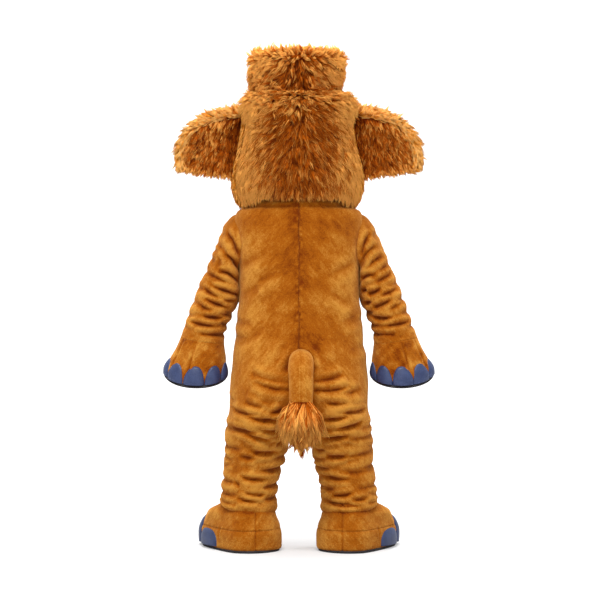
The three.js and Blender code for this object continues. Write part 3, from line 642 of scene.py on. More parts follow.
def small_creases(surface, count, low, high, seed):
    """Short creases by seeded chance, all round a cloth between two heights or rows, nearly level."""
    draw = np.random.default_rng(seed)
    t = np.linspace(0, 1, 7)
    made = []
    for _ in range(count):
        around, half, at = draw.uniform(-0.9, 1.9), draw.uniform(0.06, 0.17), draw.uniform(low, high)
        tilt = draw.uniform(-0.03, 0.03) * (high - low)
        line = surface(around + half * (2 * t - 1), at + tilt * (2 * t - 1))
        made.append((line, draw.uniform(2, 5), draw.uniform(5, 8)))
    return made


def seam(away, depth=3.0, width=3.5):
    """The groove of a seam, by the distance from it."""
    return -depth * bell(away / width)


def drape(grid, seed, large=2.8, small=1.3):
    """The slack of a soft cloth: low swells of two sizes."""
    return large * clouds(grid, 85, seed) + small * clouds(grid, 34, seed + 1)


# Fur ------------------------------------------------------

SPREAD_STEPS = (0.7548776662, 0.5698402910)  # 1 over the plastic number, and its square
LOCK_RINGS = (0.0, 0.5)  # where a lock's rings of three points lie along it, below its tip
LOCK_CURL = 0.1


def spots(grid, normals, count, closed, draw):
    """Points spread evenly over a grid by a sequence that leaves no gaps: one number picks the row by
    the area below it, the other the column within that row."""
    if closed:
        grid = np.concatenate((grid, grid[:, :1]), 1)
        normals = np.concatenate((normals, normals[:, :1]), 1)
    i = np.arange(count)
    first, second = ((draw.random() + i * step) % 1 for step in SPREAD_STEPS)
    across, down = grid[:-1, 1:] - grid[:-1, :-1], grid[1:, :-1] - grid[:-1, :-1]
    cell = np.linalg.norm(np.cross(across, down), axis=-1)
    below = np.append(0, cell.sum(1).cumsum())
    v = np.interp(first * below[-1], below, np.arange(len(below)))
    row = np.clip(v.astype(int), 0, len(cell) - 1)
    before = np.concatenate((np.zeros((len(cell), 1)), cell.cumsum(1)), 1)
    before = (before / before[:, -1:])[row]
    column = np.clip((before <= second[:, None]).sum(1) - 1, 0, cell.shape[1] - 1)
    low, high = before[i, column], before[i, column + 1]
    s, t = ((second - low) / (high - low))[:, None], (v - row)[:, None]

    def at(values):
        near = lerp(values[row, column], values[row, column + 1], s)
        return lerp(near, lerp(values[row + 1, column], values[row + 1, column + 1], s), t)

    return at(grid), unit(at(normals))


def fur(roots, normals, flow, draw, *, length, rise, width, tone, many, spread, stray, pull=0.75,
        sag=0.0):
    """Locks of fur in clumps. A clump's middle line leaves its root along the flow, strayed by a random
    angle, and rises off the surface as 1.6t - 0.8t squared; its locks start round the root and are drawn
    towards its tip as t to the 1.3. Each lock is a three-sided tube that tapers to a point. length,
    rise, tone and stray are one number or one for each root."""
    count = len(roots)
    length, rise, tone, stray = (
        np.broadcast_to(x, count).astype(float) for x in (length, rise, tone, stray))
    flow = unit(flow - (flow * normals).sum(-1, keepdims=True) * normals)
    swing = draw.normal(0, stray, count)[:, None]
    flow = flow * np.cos(swing) + np.cross(normals, flow) * np.sin(swing)
    length = length * draw.uniform(0.78, 1.22, count)
    rise = rise * draw.uniform(0.55, 1.45, count)
    tone = tone + draw.normal(0, 0.24, count)
    side = np.cross(normals, flow)

    def each(values):
        """A clump's value for each of its locks."""
        return np.repeat(values, many, axis=0)

    total = count * many
    offset = draw.uniform(-1, 1, (total, 2)) * spread
    start = each(roots) + each(flow) * offset[:, :1] + each(side) * offset[:, 1:] - 1.5 * each(normals)
    turn = draw.normal(0, 0.14, total)[:, None]
    own_flow = each(flow) * np.cos(turn) + each(side) * np.sin(turn)
    own_length = (each(length) * draw.uniform(0.75, 1.1, total))[:, None]
    own_rise = (each(rise) * draw.uniform(0.6, 1.25, total))[:, None]
    wave = (draw.normal(0, LOCK_CURL, total) * each(length))[:, None]
    t = np.array([*LOCK_RINGS, 1.0])[:, None, None]
    lift = 1.6 * t - 0.8 * t * t

    def path(base, along, far, high):
        return base + along * far * t + each(normals) * high * lift

    own = path(start, own_flow, own_length, own_rise)
    clump = path(each(roots), each(flow), each(length)[:, None], each(rise)[:, None])
    line = lerp(own, clump, pull * t**1.3) + each(side) * wave * np.sin(np.pi * t) * 0.6
    line[..., 2] -= sag * each(length) * t[..., 0] ** 2
    tangent = unit(np.gradient(line, axis=0))
    across = unit(np.cross(tangent, each(normals)[None]))
    out = np.cross(across, tangent)
    wide = width * draw.uniform(0.7, 1.3, total)[None, :, None]
    shape = (0.75 + 1.1 * t - 1.75 * t * t)[:-1] * wide
    places = np.stack((
        line[:-1] + across[:-1] * shape / 2,
        line[:-1] + out[:-1] * shape * 0.42,
        line[:-1] - across[:-1] * shape / 2,
    ), 2)  # ring, lock, corner, xyz
    levels = len(LOCK_RINGS)
    places = places.transpose(1, 0, 2, 3).reshape(total, levels * 3, 3)
    places = np.concatenate((places, line[-1][:, None]), 1)
    tris = [(2, 1, 0)]
    for k in range(0, 3 * levels - 3, 3):
        for c, d in ((0, 1), (1, 2), (2, 0)):
            tris += [(k + c, k + d, k + 3 + d), (k + c, k + 3 + d, k + 3 + c)]
    top = 3 * levels - 3
    tris += [(top + c, top + (c + 1) % 3, 3 * levels) for c in range(3)]
    size = 3 * levels + 1
    triangles = (np.array(tris)[None] + size * np.arange(total)[:, None, None]).reshape(-1, 3)
    along = np.append(np.repeat(LOCK_RINGS, 3), 1.0)
    shares = np.append(np.tile([0, 0.5, 1.0], levels), 0.5)
    u = shares[None] * width + draw.uniform(0, 900, total)[:, None]
    v = along[None] * own_length + draw.uniform(0, 900, total)[:, None]
    tones = np.repeat(each(tone) + draw.normal(0, 0.17, total), size)
    return body(places.reshape(-1, 3), np.zeros((0, 4), int), triangles, tone=tones,
                along=np.tile(along, total), uv=np.stack((u, v), -1).reshape(-1, 2))


# Finishes -------------------------------------------------


def put(tree, kind, *values, settings=None, **named):
    """A node with its inputs: sockets are linked, and anything else is set as their value."""
    made = tree.nodes.new(kind)
    for name, value in (settings or {}).items():
        setattr(made, name, value)
    wanted = list(enumerate(values)) + [(name.replace("_", " "), value) for name, value in named.items()]
    fill(tree, made, wanted)
    return made


def fill(tree, node, wanted):
    """Links a node's inputs to sockets, or sets their values."""
    for name, value in wanted:
        if isinstance(value, bpy.types.NodeSocket):
            tree.links.new(value, node.inputs[name])
        else:
            node.inputs[name].default_value = value


def math_node(tree, operation, *values):
    return put(tree, "ShaderNodeMath", *values, settings=dict(operation=operation)).outputs[0]


def weighed(tree, start, *terms):
    """A sum: start, and each value times its weight."""
    for value, weight in terms:
        start = math_node(tree, "MULTIPLY_ADD", value, weight, start)
    return start


def ramp(tree, value, low, high):
    """An S curve from 0 at low to 1 at high."""
    settings = dict(interpolation_type="SMOOTHSTEP")
    return put(tree, "ShaderNodeMapRange", value, low, high, 0.0, 1.0, settings=settings).outputs[0]


def blend(tree, share, first, second):
    """A mix of two colours."""
    made = put(tree, "ShaderNodeMix", settings=dict(data_type="RGBA"))
    fill(tree, made, ((0, share), (6, first), (7, second)))
    return made.outputs[2]


def noise(tree, place, scale, detail=2.0, rough=0.5):
    values = dict(Vector=place, Scale=scale, Detail=detail, Roughness=rough)
    return put(tree, "ShaderNodeTexNoise", **values).outputs[0]


def stored(tree, name):
    """A value that the mesh's points hold."""
    return put(tree, "ShaderNodeAttribute", settings=dict(attribute_name=name)).outputs["Fac"]


def object_place(tree):
    return put(tree, "ShaderNodeTexCoord").outputs["Object"]


def pattern_group(name, colours):
    """An empty node group that gives a colour and a height, and the nodes that hold its sockets."""
    tree = bpy.data.node_groups.new(name, "ShaderNodeTree")
    colour = "NodeSocketColor"
    for label in colours:
        tree.interface.new_socket(label, in_out="INPUT", socket_type=colour)
    for label, kind in (("Color", colour), ("Height", "NodeSocketFloat")):
        tree.interface.new_socket(label, in_out="OUTPUT", socket_type=kind)
    given, made = tree.nodes.new("NodeGroupInput"), tree.nodes.new("NodeGroupOutput")
    return tree, given.outputs, made.inputs


def make_nap():
    """Short plush: patches where the pile lies one way or the other, strokes in it that run down and
    outwards on both sides, painted shade in the creases and painted highlight on the rolls, and the pile
    itself."""
    tree, given, made = pattern_group("nap", ("Dark", "Middle", "Light"))
    place = object_place(tree)
    x, y, z = put(tree, "ShaderNodeSeparateXYZ", place).outputs
    beside = weighed(tree, y, (math_node(tree, "GREATER_THAN", x, 0.0), 7.0))
    paired = put(tree, "ShaderNodeCombineXYZ", math_node(tree, "ABSOLUTE", x), beside, z).outputs[0]
    broad, narrow = (
        put(tree, "ShaderNodeMapping", Vector=paired, Rotation=(0, turn, 0), Scale=size,
            settings=dict(vector_type="TEXTURE")).outputs[0]
        for turn, size in ((0.75, (0.1, 0.07, 0.06)), (0.85, (0.045, 0.02, 0.01)))
    )
    patches = noise(tree, broad, 1.0, 3.0, 0.55)
    strokes = noise(tree, narrow, 1.0, 3.0, 0.62)
    tufts = noise(tree, place, 36.0, 4.0, 0.68)
    pile = noise(tree, place, 210.0, 2.0, 0.6)
    hollow, tone = stored(tree, "hollow"), stored(tree, "tone")
    # The last term darkens the creases as painted shade and lightens the rolls as painted highlight.
    value = weighed(
        tree, tone, (patches, 0.7), (strokes, 0.48), (tufts, 0.48), (pile, 0.64), (hollow, -0.55))
    lower = blend(tree, ramp(tree, value, 0.68, 1.18), given["Dark"], given["Middle"])
    colour = blend(tree, ramp(tree, value, 1.08, 1.56), lower, given["Light"])
    tree.links.new(colour, made["Color"])
    tree.links.new(weighed(tree, pile, (tufts, 1.6), (strokes, 1.2)), made["Height"])
    return tree


def make_strands():
    """Fur: each lock dark at its root and light at its tip, with fine strands along it, patches across
    the whole, and its own tone."""
    tree, given, made = pattern_group("strands", ("Root", "Middle", "Tip"))
    lock = put(tree, "ShaderNodeUVMap").outputs[0]
    fine = put(tree, "ShaderNodeMapping", Vector=lock, Scale=(0.9, 0.05, 1)).outputs[0]
    strands = noise(tree, fine, 1.0, 2.0, 0.6)
    patches = noise(tree, object_place(tree), 21.0, 3.0, 0.6)
    value = weighed(
        tree, stored(tree, "tone"), (stored(tree, "along"), 0.62), (strands, 0.7), (patches, 0.5))
    lower = blend(tree, ramp(tree, value, 0.55, 1.2), given["Root"], given["Middle"])
    colour = blend(tree, ramp(tree, value, 1.1, 1.85), lower, given["Tip"])
    tree.links.new(colour, made["Color"])
    tree.links.new(strands, made["Height"])
    return tree


def finish(name, rough, bump, pattern, colours=(), far=0.001, sheen=None, coat=0.0):
    """The finish of a material slot, on the Principled shader. pattern is a group that gives its colour
    and its height, or a function that makes both. Cloth and fur have a sheen and no gloss."""
    material = FINISHES[name] = bpy.data.materials.new(name)
    material.use_nodes = True
    tree = material.node_tree
    shader = tree.nodes["Principled BSDF"]
    fixed = {"Roughness": rough, "Specular IOR Level": 0.0 if sheen else 0.4, "Coat Weight": coat}
    if sheen:
        weight, spread = sheen
        fixed.update({"Sheen Weight": weight, "Sheen Roughness": spread, "Sheen Tint": (*PILE_GLOW, 1)})
    fill(tree, shader, fixed.items())
    if isinstance(pattern, bpy.types.NodeTree):
        effect = put(tree, "ShaderNodeGroup", settings=dict(node_tree=pattern))
        for socket, value in zip(effect.inputs, colours):
            socket.default_value = (*value, 1)
        colour, height = effect.outputs
    else:
        colour, height = pattern(tree)
    tree.links.new(colour, shader.inputs["Base Color"])
    normal = put(tree, "ShaderNodeBump", Strength=bump, Distance=far, Height=height).outputs[0]
    tree.links.new(normal, shader.inputs["Normal"])


def speckled(dark, light, scale):
    """A pattern of two near colours in soft specks."""
    def made(tree):
        place = object_place(tree)
        grain, worn = noise(tree, place, scale, 3.0, 0.6), noise(tree, place, scale / 9, 2.0, 0.5)
        value = weighed(tree, math_node(tree, "MULTIPLY", grain, 0.5), (worn, 0.5))
        return blend(tree, ramp(tree, value, 0.35, 0.65), (*dark, 1), (*light, 1)), grain
    return made


FINISHES = {}
PILE_GLOW = (1.0, 0.52, 0.16)
nap, strands = make_nap(), make_strands()
finish("plush", 0.95, 0.6, nap, ((0.152, 0.024, 0.0011), (0.32, 0.084, 0.0036), (0.515, 0.22, 0.033)),
       far=0.003, sheen=(0.5, 0.5))
finish("long_fur", 0.7, 0.4, strands, ((0.125, 0.015, 0.001), (0.49, 0.1, 0.0035), (1.0, 0.47, 0.1)),
       sheen=(0.1, 0.4))
# This fur is painted lighter as rim light, for the ears' rims.
finish("tip_fur", 0.7, 0.4, strands, ((0.33, 0.065, 0.003), (0.88, 0.32, 0.035), (1.0, 0.54, 0.15)),
       sheen=(0.15, 0.4))
finish("short_fur", 0.75, 0.4, strands, ((0.25, 0.045, 0.002), (0.6, 0.18, 0.01), (1.0, 0.48, 0.11)),
       sheen=(0.1, 0.4))
finish("nail", 0.42, 0.15, speckled((0.019, 0.031, 0.09), (0.038, 0.056, 0.14), 260.0))
finish("sole", 0.75, 0.3, speckled((0.008, 0.006, 0.007), (0.03, 0.024, 0.026), 300.0))
finish("tusk", 0.45, 0.1, speckled((0.44, 0.38, 0.27), (0.58, 0.54, 0.44), 90.0))
finish("eye", 0.12, 0.02, speckled((0.006, 0.004, 0.004), (0.02, 0.014, 0.012), 40.0), coat=0.6)


# Pieces ---------------------------------------------------

TURNS = np.linspace(0, 360, 721)
BEARINGS = TURNS - 180
TUBE = np.linspace(0, 360, 49)[:-1]
CLOTH_THICK, GLOVE_THICK, SHOE_THICK, NAIL_THICK = 3, 4, 5, 6
PANEL_WIDE = 365
EDGE_PROUD = 2.5  # how far a nail's edge stands off the wall
SHORT_PILE = dict(many=5, stray=0.25, low=0.15)


def piece(name, made, slot, side=LEFT):
    """The mesh of a body, in metres about the neck, mirrored for the right side."""
    places = (made["places"] - (0, 0, NECK_UP)) / 1000
    quads, triangles = made["quads"], made["triangles"]
    if side == RIGHT:
        places[:, 0] *= -1
        quads, triangles = quads[:, ::-1], triangles[:, ::-1]
    corners = np.concatenate((quads.ravel(), triangles.ravel())).astype(np.int32)
    begins = np.arange(len(triangles)) * 3 + len(quads) * 4
    begins = np.concatenate((np.arange(len(quads)) * 4, begins)).astype(np.int32)
    title = f"{name}_{slot}"
    mesh = bpy.data.meshes.new(title)
    mesh.vertices.add(len(places))
    mesh.vertices.foreach_set("co", places.astype(np.float32).ravel())
    mesh.loops.add(len(corners))
    mesh.loops.foreach_set("vertex_index", corners)
    mesh.polygons.add(len(begins))
    mesh.polygons.foreach_set("loop_start", begins)
    mesh.polygons.foreach_set("use_smooth", np.ones(len(begins), bool))
    mesh.update(calc_edges=True)
    for value in VALUES:
        layer = mesh.attributes.new(value, "FLOAT", "POINT")
        layer.data.foreach_set("value", made[value].astype(np.float32))
    pattern_places = made["uv"][corners].astype(np.float32).ravel()
    mesh.uv_layers.new(name="UVMap").data.foreach_set("uv", pattern_places)
    mesh.materials.append(FINISHES[slot])
    shown = bpy.data.objects.new(title, mesh)
    bpy.context.scene.collection.objects.link(shown)
    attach(shown, "root")
    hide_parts(name)
    return shown


def named(stem, side):
    """The name of a side's own piece."""
    return f"{stem}_{'left' if side == LEFT else 'right'}"


def suit_panel(side, front):
    """One panel of the suit: its form, its folds, and the grooves of the seams along its edges. The neck
    above its seam stands proud."""
    steps, pitch = (38, 7.5) if front else (58, 4.8)
    ups = np.linspace(NECK_UP, ANKLE_UP, 4 * steps + 1)
    shares = edged(PANEL_WIDE, pitch)

    def cut(share, up):
        """The panel with its lowest 108 stretched down to the ankle's seam, lowest behind."""
        dip = (27 if front else -9) * np.sin(np.pi * np.clip(share, 0, 1)) ** 0.8
        ankle = lerp(150, 176, share) + dip
        lower = np.clip((300 - up) / (300 - ANKLE_UP), 0, 1)
        return suit_point(share, up - lower * (ANKLE_UP - ankle), front)

    grid, length = even(cut, np.linspace(0, 1, 400), ups, shares)
    normals, flipped = outward(grid, False)
    before = [(out_a, up_a + 14, out_b, up_b + 14, *depth_width)
              for out_a, up_a, out_b, up_b, *depth_width in LEG_FOLDS[-side] + BACK_FOLDS[-side][:3]]
    lines = crease_lines(suit_line, 1.15, LEG_FOLDS[side] + BACK_FOLDS[side], before)
    lines += small_creases(suit_around, 30, 210, 640, 31 + side)
    moved = creased(grid, lines) * turned(normals) + drape(grid, 3 + side)
    run = shares[None, :] * length[:, None]
    moved += seam(run) * smooth(ups, 300, 430)[:, None] + seam(run[:, -1:] - run, 1.6, 3.0)
    # A roll above the ankle's seam, that seam, the neck's seam, and the neck above it.
    hem, top = ups - ANKLE_UP, ups - NECK_SEAM
    edges = 6 * bell((hem - 16) / 11) - 5 * bell(hem / 4) - 2.6 * bell(top / 3) + 8 * smooth(top, 0, 12)
    moved += (edges - 3 * smooth(ups, 640, 520))[:, None]
    # Small puckers beside the middle seam.
    moved += 2.4 * bell((run - 10) / 9) * clouds(grid, 12, 6 + side) * smooth(ups, 840, 900)[:, None]
    made = shell(grid, normals, flipped, moved, CLOTH_THICK, False)

    # Painted side light at the sides, lighter on the legs, darker along the middle and the shoulders,
    # painted shadow of the head over the neck, and brushed both ways beside the middle seam.
    out, up = np.abs(made["places"][:, 0]), made["places"][:, 2]
    # Painted side light: lighter towards the sides.
    sides = 0.1 * smooth(out, 60, 210) * smooth(up, 1330, 1150)
    parted = 0.3 * bell((out - 8) / 9) * clouds(made["places"], 11, 9 + side) * smooth(up, 840, 900)
    made["tone"] = (sides - 0.18 * bell(out / 42)) * smooth(up, 560, 760) + parted
    made["tone"] += 0.13 * smooth(up, 640, 500) - 0.07 * smooth(up, 1180, 1290)
    # Painted shadow of the head over the neck above its seam.
    made["tone"] -= 0.1 * smooth(up, 1350, 1358)
    shown = piece(named("suit_front" if front else "suit_back", side), made, "plush", side)


def sleeve(side):
    """The sleeve: the arm's form with its folds, sewn into the armhole and to the glove."""
    rows_at = even_rows(sleeve_point, TURNS[:-1], np.linspace(0, WRIST, 300), 4 * 27 + 1)
    grid, _ = even(sleeve_point, TURNS, rows_at, ring(4 * 28))
    normals, flipped = outward(grid, True)
    lines = crease_lines(sleeve_line, 1.1, SLEEVE_FOLDS[side], SLEEVE_FOLDS[-side])
    lines += small_creases(
        lambda around, row: sleeve_point(90 * (around + 1), row), 20, 2, 9.6, 51 + side)
    moved = creased(grid, lines) * turned(normals)
    moved += (drape(grid, 7 + side) - 3) * smooth(rows_at, 0, 0.6)[:, None]
    moved *= smooth(rows_at, WRIST, 8.7)[:, None]
    moved += seam(rows_at * 28, 2, 5)[:, None]
    made = shell(grid, normals, flipped, moved, CLOTH_THICK, True)
    made["tone"] += 0.08
    piece(named("sleeve", side), made, "plush", side)


def glove(side):
    """The glove, with two darts down its back, and the pad that closes it below."""
    rows_at = even_rows(arm_point, TURNS[:-1], np.linspace(WRIST, RIM - 0.05, 100), 4 * 10 + 1)
    grid, _ = even(arm_point, TURNS, rows_at, ring(4 * 30))
    normals, flipped = outward(grid, True)
    rows_in = np.linspace(WRIST, RIM - 1, 13)
    share = (rows_in - WRIST) / (RIM - WRIST)
    darts = [(arm_point(lerp(high, low, share), rows_in), 5, 4) for high, low in GLOVE_DARTS]
    moved = drape(grid, 11 + side, 1.6, 1.6) * smooth(rows_at, WRIST, WRIST + 0.5)[:, None]
    made = shell(grid, normals, flipped, moved + creased(grid, darts), GLOVE_THICK, True)
    made["tone"] += 0.32 * clouds(made["places"], 26, 15 + side) - 0.06
    piece(named("glove", side), made, "plush", side)

    edge, _ = even(arm_point, TURNS, np.array([float(RIM)]), ring(96))
    out = unit(edge[0] - edge[0].mean(0))
    levels = [(-3, -26), (-3, 0), (1, 4), (2.2, 6), (3.8, 8), (6, 8), (8.4, 6), (10.2, 2), (11.6, -5),
              (12.6, -15), (13, -28)]
    pad = np.array([edge[0] + out * wider - (0, 0, down) for down, wider in levels])
    piece(named("glove_pad", side), solid(pad), "sole", side)


def nails(side, stem, surface, places, half_turns, low, highs, bulges):
    """Arched nails: each over a stretch of the wall, from the row low, rising highest in the middle,
    with an edge that stands off the wall and a bulge in the middle."""
    s, t = np.linspace(-1, 1, 25)[None, :], np.linspace(0, 1, 13)[:, None]
    rise = 0.34 + 0.66 * np.sqrt(np.clip(1 - np.abs(s) ** 2.2, 0, 1))
    pillow = (1 - s**2) ** 0.6 * (1 - 0.8 * t**2.5)
    blunt = 0.45 + 0.55 * (1 - t**10)
    for number, (turn, half_turn, high, bulge) in enumerate(zip(places, half_turns, highs, bulges), 1):
        u, v = turn + s * half_turn + 0 * t, low + (high - low) * rise * t
        grid = surface(u, v)
        across = surface(u + 1, v) - surface(u - 1, v)
        down = surface(u, v + 0.02) - surface(u, v - 0.02)
        normal = unit(np.cross(across, down))
        normal *= np.sign((normal * (grid - surface(u + 180, v))).sum(-1, keepdims=True))
        moved = grid + normal * ((EDGE_PROUD + bulge * pillow) * blunt)[..., None]
        own = unit(np.cross(np.gradient(grid, axis=1), np.gradient(grid, axis=0)))
        made = shell(
            moved, normal, (own * normal).sum() < 0, np.zeros(grid.shape[:2]), NAIL_THICK, False)
        piece(named(f"{stem}_{number}", side), made, "nail", side)


def close_behind(shares):
    """Shares round the shoe cover set twice as close at the heel, where its seam is, as on average."""
    return shares - 0.5 / (2 * np.pi) * np.sin(2 * np.pi * shares)


def shoe(side):
    """The shoe cover: its collar and its foot, full over the instep and behind the heel, with tucks
    between the nails, and the sole under them."""
    for stem, first, last, flat in (("shoe_collar", 0, FOOT_LINE, (0.95, 0.1)),
                                    ("shoe_foot", FOOT_LINE, FOOT_HEM, (1.08, 0.1))):
        rows_at = even_rows(shoe_point, BEARINGS[:-1], np.linspace(first, last, 60), 4 * 5 + 1)
        grid, _ = even(shoe_point, BEARINGS, rows_at, close_behind(ring(4 * 44)))
        normals, flipped = outward(grid, True)
        x, y, up = grid[..., 0], grid[..., 1], grid[..., 2]
        # Full over the instep and inside the heel, and drawn in at the sole and at the ankle; then the
        # seam round the foot and the heel's seam.
        moved = drape(grid, 13 + side, 1.6, 1.2)
        moved += 10 * smooth(-x, 280, 345) * bell((up - 155) / 32)
        moved += 8 * bell((x + 72) / 45) * smooth(y, 120, 20) * smooth(up, 150, 100)
        moved -= 3 * smooth(up, 18, 10) + 7 * smooth(up, 138, 165)
        moved += seam((rows_at - FOOT_LINE) * 40, 1.5, 4)[:, None]
        moved += seam(np.abs(x + 169) + 200 * (y > 0), 4, 3.4)
        tucks = [(shoe_point(np.full(9, float(b)), np.linspace(3, 4.2, 9)), 4, 5) for b in SHOE_TUCKS]
        made = shell(grid, normals, flipped, moved + creased(grid, tucks), SHOE_THICK, True)
        made["tone"] += 0.05
        piece(named(stem, side), made, "plush", side)

    edge, _ = even(shoe_point, BEARINGS, np.array([float(FOOT_HEM)]), ring(112))
    out = unit((edge[0] - edge[0].mean(0)) * (1, 1, 0))
    levels = [(11, -30), (11, -5), (10, -2.4), (8, -1), (5, -0.6), (2.6, -1), (0.8, -2.4), (0, -5),
              (0, -30)]
    base = np.array([edge[0] * (1, 1, 0) + out * wider + (0, 0, up) for up, wider in levels])
    piece(named("shoe_sole", side), solid(base), "sole", side)


def coat(name, grid, closed, draw, slot, *, clumps, flow, tone, thick=8, side=LEFT, facing=None,
         ratio=2, ends=False, **kind):
    """A furred piece: its backing, and locks in clumps all over it. flow is a function of the places
    and their normals; tone, length, rise and stray are numbers or functions of the places."""
    normals, flipped = outward(grid, closed, facing)
    if ends:
        base = solid(grid)
    else:
        base = shell(grid, normals, flipped, np.zeros(grid.shape[:2]), thick, closed, ratio)
    base["uv"] = base["places"][:, ::2] * 1.0
    roots, root_normals = spots(grid, normals, clumps, closed, draw)

    def at(value, places):
        return value(places) if callable(value) else np.full(len(places), float(value))

    base["tone"] = at(tone, base["places"]) - 0.5
    for key in ("length", "rise", "stray"):
        kind[key] = at(kind[key], roots)
    locks = fur(roots, root_normals, flow(roots, root_normals), draw, tone=at(tone, roots), **kind)
    piece(name, joined([base, locks]), slot, side)


def inset_grid(grid, closed, inset):
    """A grid drawn in along its normals, as the fur on it takes up its reach."""
    return grid - outward(grid, closed)[0] * inset


def head_flow(places, normals):
    """Down the head, fanned out from a whorl high in the middle of the back, and flung outwards where
    the crown turns in under the topknot."""
    x, up = places[:, 0], places[:, 2]
    fan = 1.2 * np.tanh(x / 60) * smooth(up, 1300, 1720)
    crown = smooth(up, 1770, 1812)
    flung = 0.5 * crown * np.sign(x) * smooth(np.abs(x), 20, 120)
    return point(fan + flung, -0.9 * crown, -1.0 + 0.45 * crown)


def head_tone(places):
    """Painted side light at the sides and the crown's corners, lighter on the crown, darker and redder
    towards the parting, and painted shadow at the hem.
    """
    x, up = np.abs(places[:, 0]), places[:, 2]
    # Painted side light at the sides and at the crown's corners.
    sides = 0.675 * smooth(x, 60, 205) * smooth(up, 1830, 1700)
    corners = 0.4725 * smooth(x, 90, 190) * smooth(up, 1690, 1780)
    crown = 0.33 * smooth(up, 1670, 1780)
    # Lighter a little above the hem, and painted shadow of the hanging fur at the hem itself.
    low = 0.16 * smooth(up, 1470, 1410) - 0.5 * smooth(up, 1408, 1394)
    parting = 0.14 * bell(x / 11) * smooth(up, 1390, 1450)
    return 0.05 + sides + corners + crown + low + 0.07 * clouds(places, 70, 5) - parting


def head_length(places):
    """As long as the hem below allows, so that the lowest locks end a little past it."""
    up = places[:, 2]
    corner = 32 * smooth(np.abs(places[:, 0]), 140, 195)
    return np.clip(up - 1373 + corner, 20, 62) - 22 * smooth(up, 1700, 1800)


def head_rise(places):
    """Flat at the hem, higher up the head, and highest at the crown's corners."""
    up = places[:, 2]
    side = smooth(np.abs(places[:, 0]), 150, 205)
    return lerp(12, 15, smooth(up, 1395, 1450)) + (8 + 14 * side) * smooth(up, 1700, 1790)


def head_stray(places):
    """Neat in the middle, ruffled at the hem, on the crown and most at its corners."""
    up = places[:, 2]
    corner = 0.3 * smooth(np.abs(places[:, 0]), 140, 200) * smooth(up, 1680, 1760)
    return 0.15 + 0.3 * smooth(up, 1600, 1780) + 0.1 * smooth(up, 1440, 1400) + corner


def head_piece(name, first, last, side, draw, slot, *, low, inset, **kind):
    """A panel of the head between two turns, from the row low, drawn in a little beside the ears."""
    turns = np.linspace(first, last, 400)
    steps = 4 * int(round(abs(last - first) / 9))
    rows_at = even_rows(head_point, turns, np.linspace(low, TOPKNOT, 200), 4 * 18 + 1)
    grid, _ = even(head_point, turns, rows_at, np.linspace(0, 1, steps + 1))
    x, up = grid[..., 0], grid[..., 2]
    waist = smooth(up, 1480, 1640) * smooth(up, 1740, 1675) * smooth(np.abs(x), 120, 190)
    grid[..., 0] *= 1 - (0.045 if side == LEFT else 0.055) * waist
    coat(name, inset_grid(grid, False, inset), False, draw, slot, side=side, flow=head_flow, **kind)


def head():
    """The head's back panels in long fur, and its cheeks and face in short fur."""
    for side in (LEFT, RIGHT):
        draw = np.random.default_rng(40 + side)
        head_piece(named("head_back", side), 0, BACK_TURN, side, draw, "long_fur", low=1.8, inset=13,
                   clumps=1540, many=7, spread=4.6, length=head_length, rise=head_rise, width=3.5,
                   tone=head_tone, stray=head_stray)
        fuller = side == LEFT
        head_piece(named("head_cheek", side), BACK_TURN, FACE_TURN, side, draw, "short_fur",
                   inset=0 if fuller else 6, clumps=580, spread=6, length=32, rise=12 if fuller else 8,
                   width=4.2, tone=0.46, **SHORT_PILE)
    draw = np.random.default_rng(50)
    head_piece("head_face", FACE_TURN, 360 - FACE_TURN, LEFT, draw, "short_fur", inset=6, clumps=520,
               spread=7, length=34, rise=8, width=4.8, tone=0.36, **SHORT_PILE)


def topknot_flow(places, normals):
    """Up and outwards along the upper edge, and below it down and to both sides of a parting."""
    x, _, up = places.T
    down = 1 - smooth(up, 1922, 1952)
    return point(1.15 * np.tanh(x / 60) * (0.25 + 0.75 * down), 0, 1 - 2 * down)


def topknot():
    """The topknot's band and its lid, a little off the middle."""
    draw = np.random.default_rng(60)
    rows_at = even_rows(head_point, BEARINGS[:-1], np.linspace(TOPKNOT + 0.02, HEAD_TOP, 100), 33)
    grid, _ = even(head_point, BEARINGS, rows_at, ring(4 * 30))
    grid[..., 0] -= 4 + 7 * smooth(grid[..., 0], 60, 180) * smooth(grid[..., 2], 1900, 1830)

    def tone(places):
        x, up = np.abs(places[:, 0]), places[:, 2]
        blotches = clouds(places, 45, 8)
        # Painted backlight: lighter towards the band's upper edge.
        rim = 0.55 * smooth(up + 16 * blotches, 1893, 1965)
        # Painted side light: lighter towards the sides.
        return 0.26 + 0.62 * smooth(x, 50, 160) + rim - 0.12 * bell(x / 18) + 0.1 * blotches

    coat("topknot_band", inset_grid(grid, True, 19), True, draw, "long_fur", clumps=1130, many=8,
         spread=5, length=lambda p: 36 + 24 * smooth(p[:, 2], 1950, 1890),
         rise=lambda p: 20 + 13 * smooth(-p[:, 0], 110, 170), width=3.5, flow=topknot_flow, tone=tone,
         stray=lambda p: 0.32 + 0.42 * smooth(np.abs(p[:, 0]), 90, 160))

    shares = np.array([1, 0.985, 0.95, 0.9, 0.8, 0.7, 0.6, 0.5, 0.4, 0.3, 0.2, 0.1, 0.04])
    grid = lid_point(BEARINGS[:-1:8][None, :], shares[:, None]) - (4, 0, 16)
    grid[0, :, 2] -= 10
    coat("topknot_lid", grid, True, draw, "long_fur", clumps=520, many=8, spread=6, length=20,
         rise=31, width=3.6, flow=lambda p, n: p * (1, 0.15, 0), tone=0.72, stray=0.6, ends=True)


def above_hem(places):
    """How high a place stands over the ear's hem."""
    out = smooth(-places[:, 0], EAR["tip_out"] - 250, EAR["tip_out"])
    return places[:, 2] - lerp(EAR["bottom"], EAR["hem_up"], out)


def ear_flow(places, normals):
    """Down, and more and more outwards towards the tip."""
    return point(-0.1 - 0.5 * smooth(-places[:, 0], 230, 480), 0, -1)


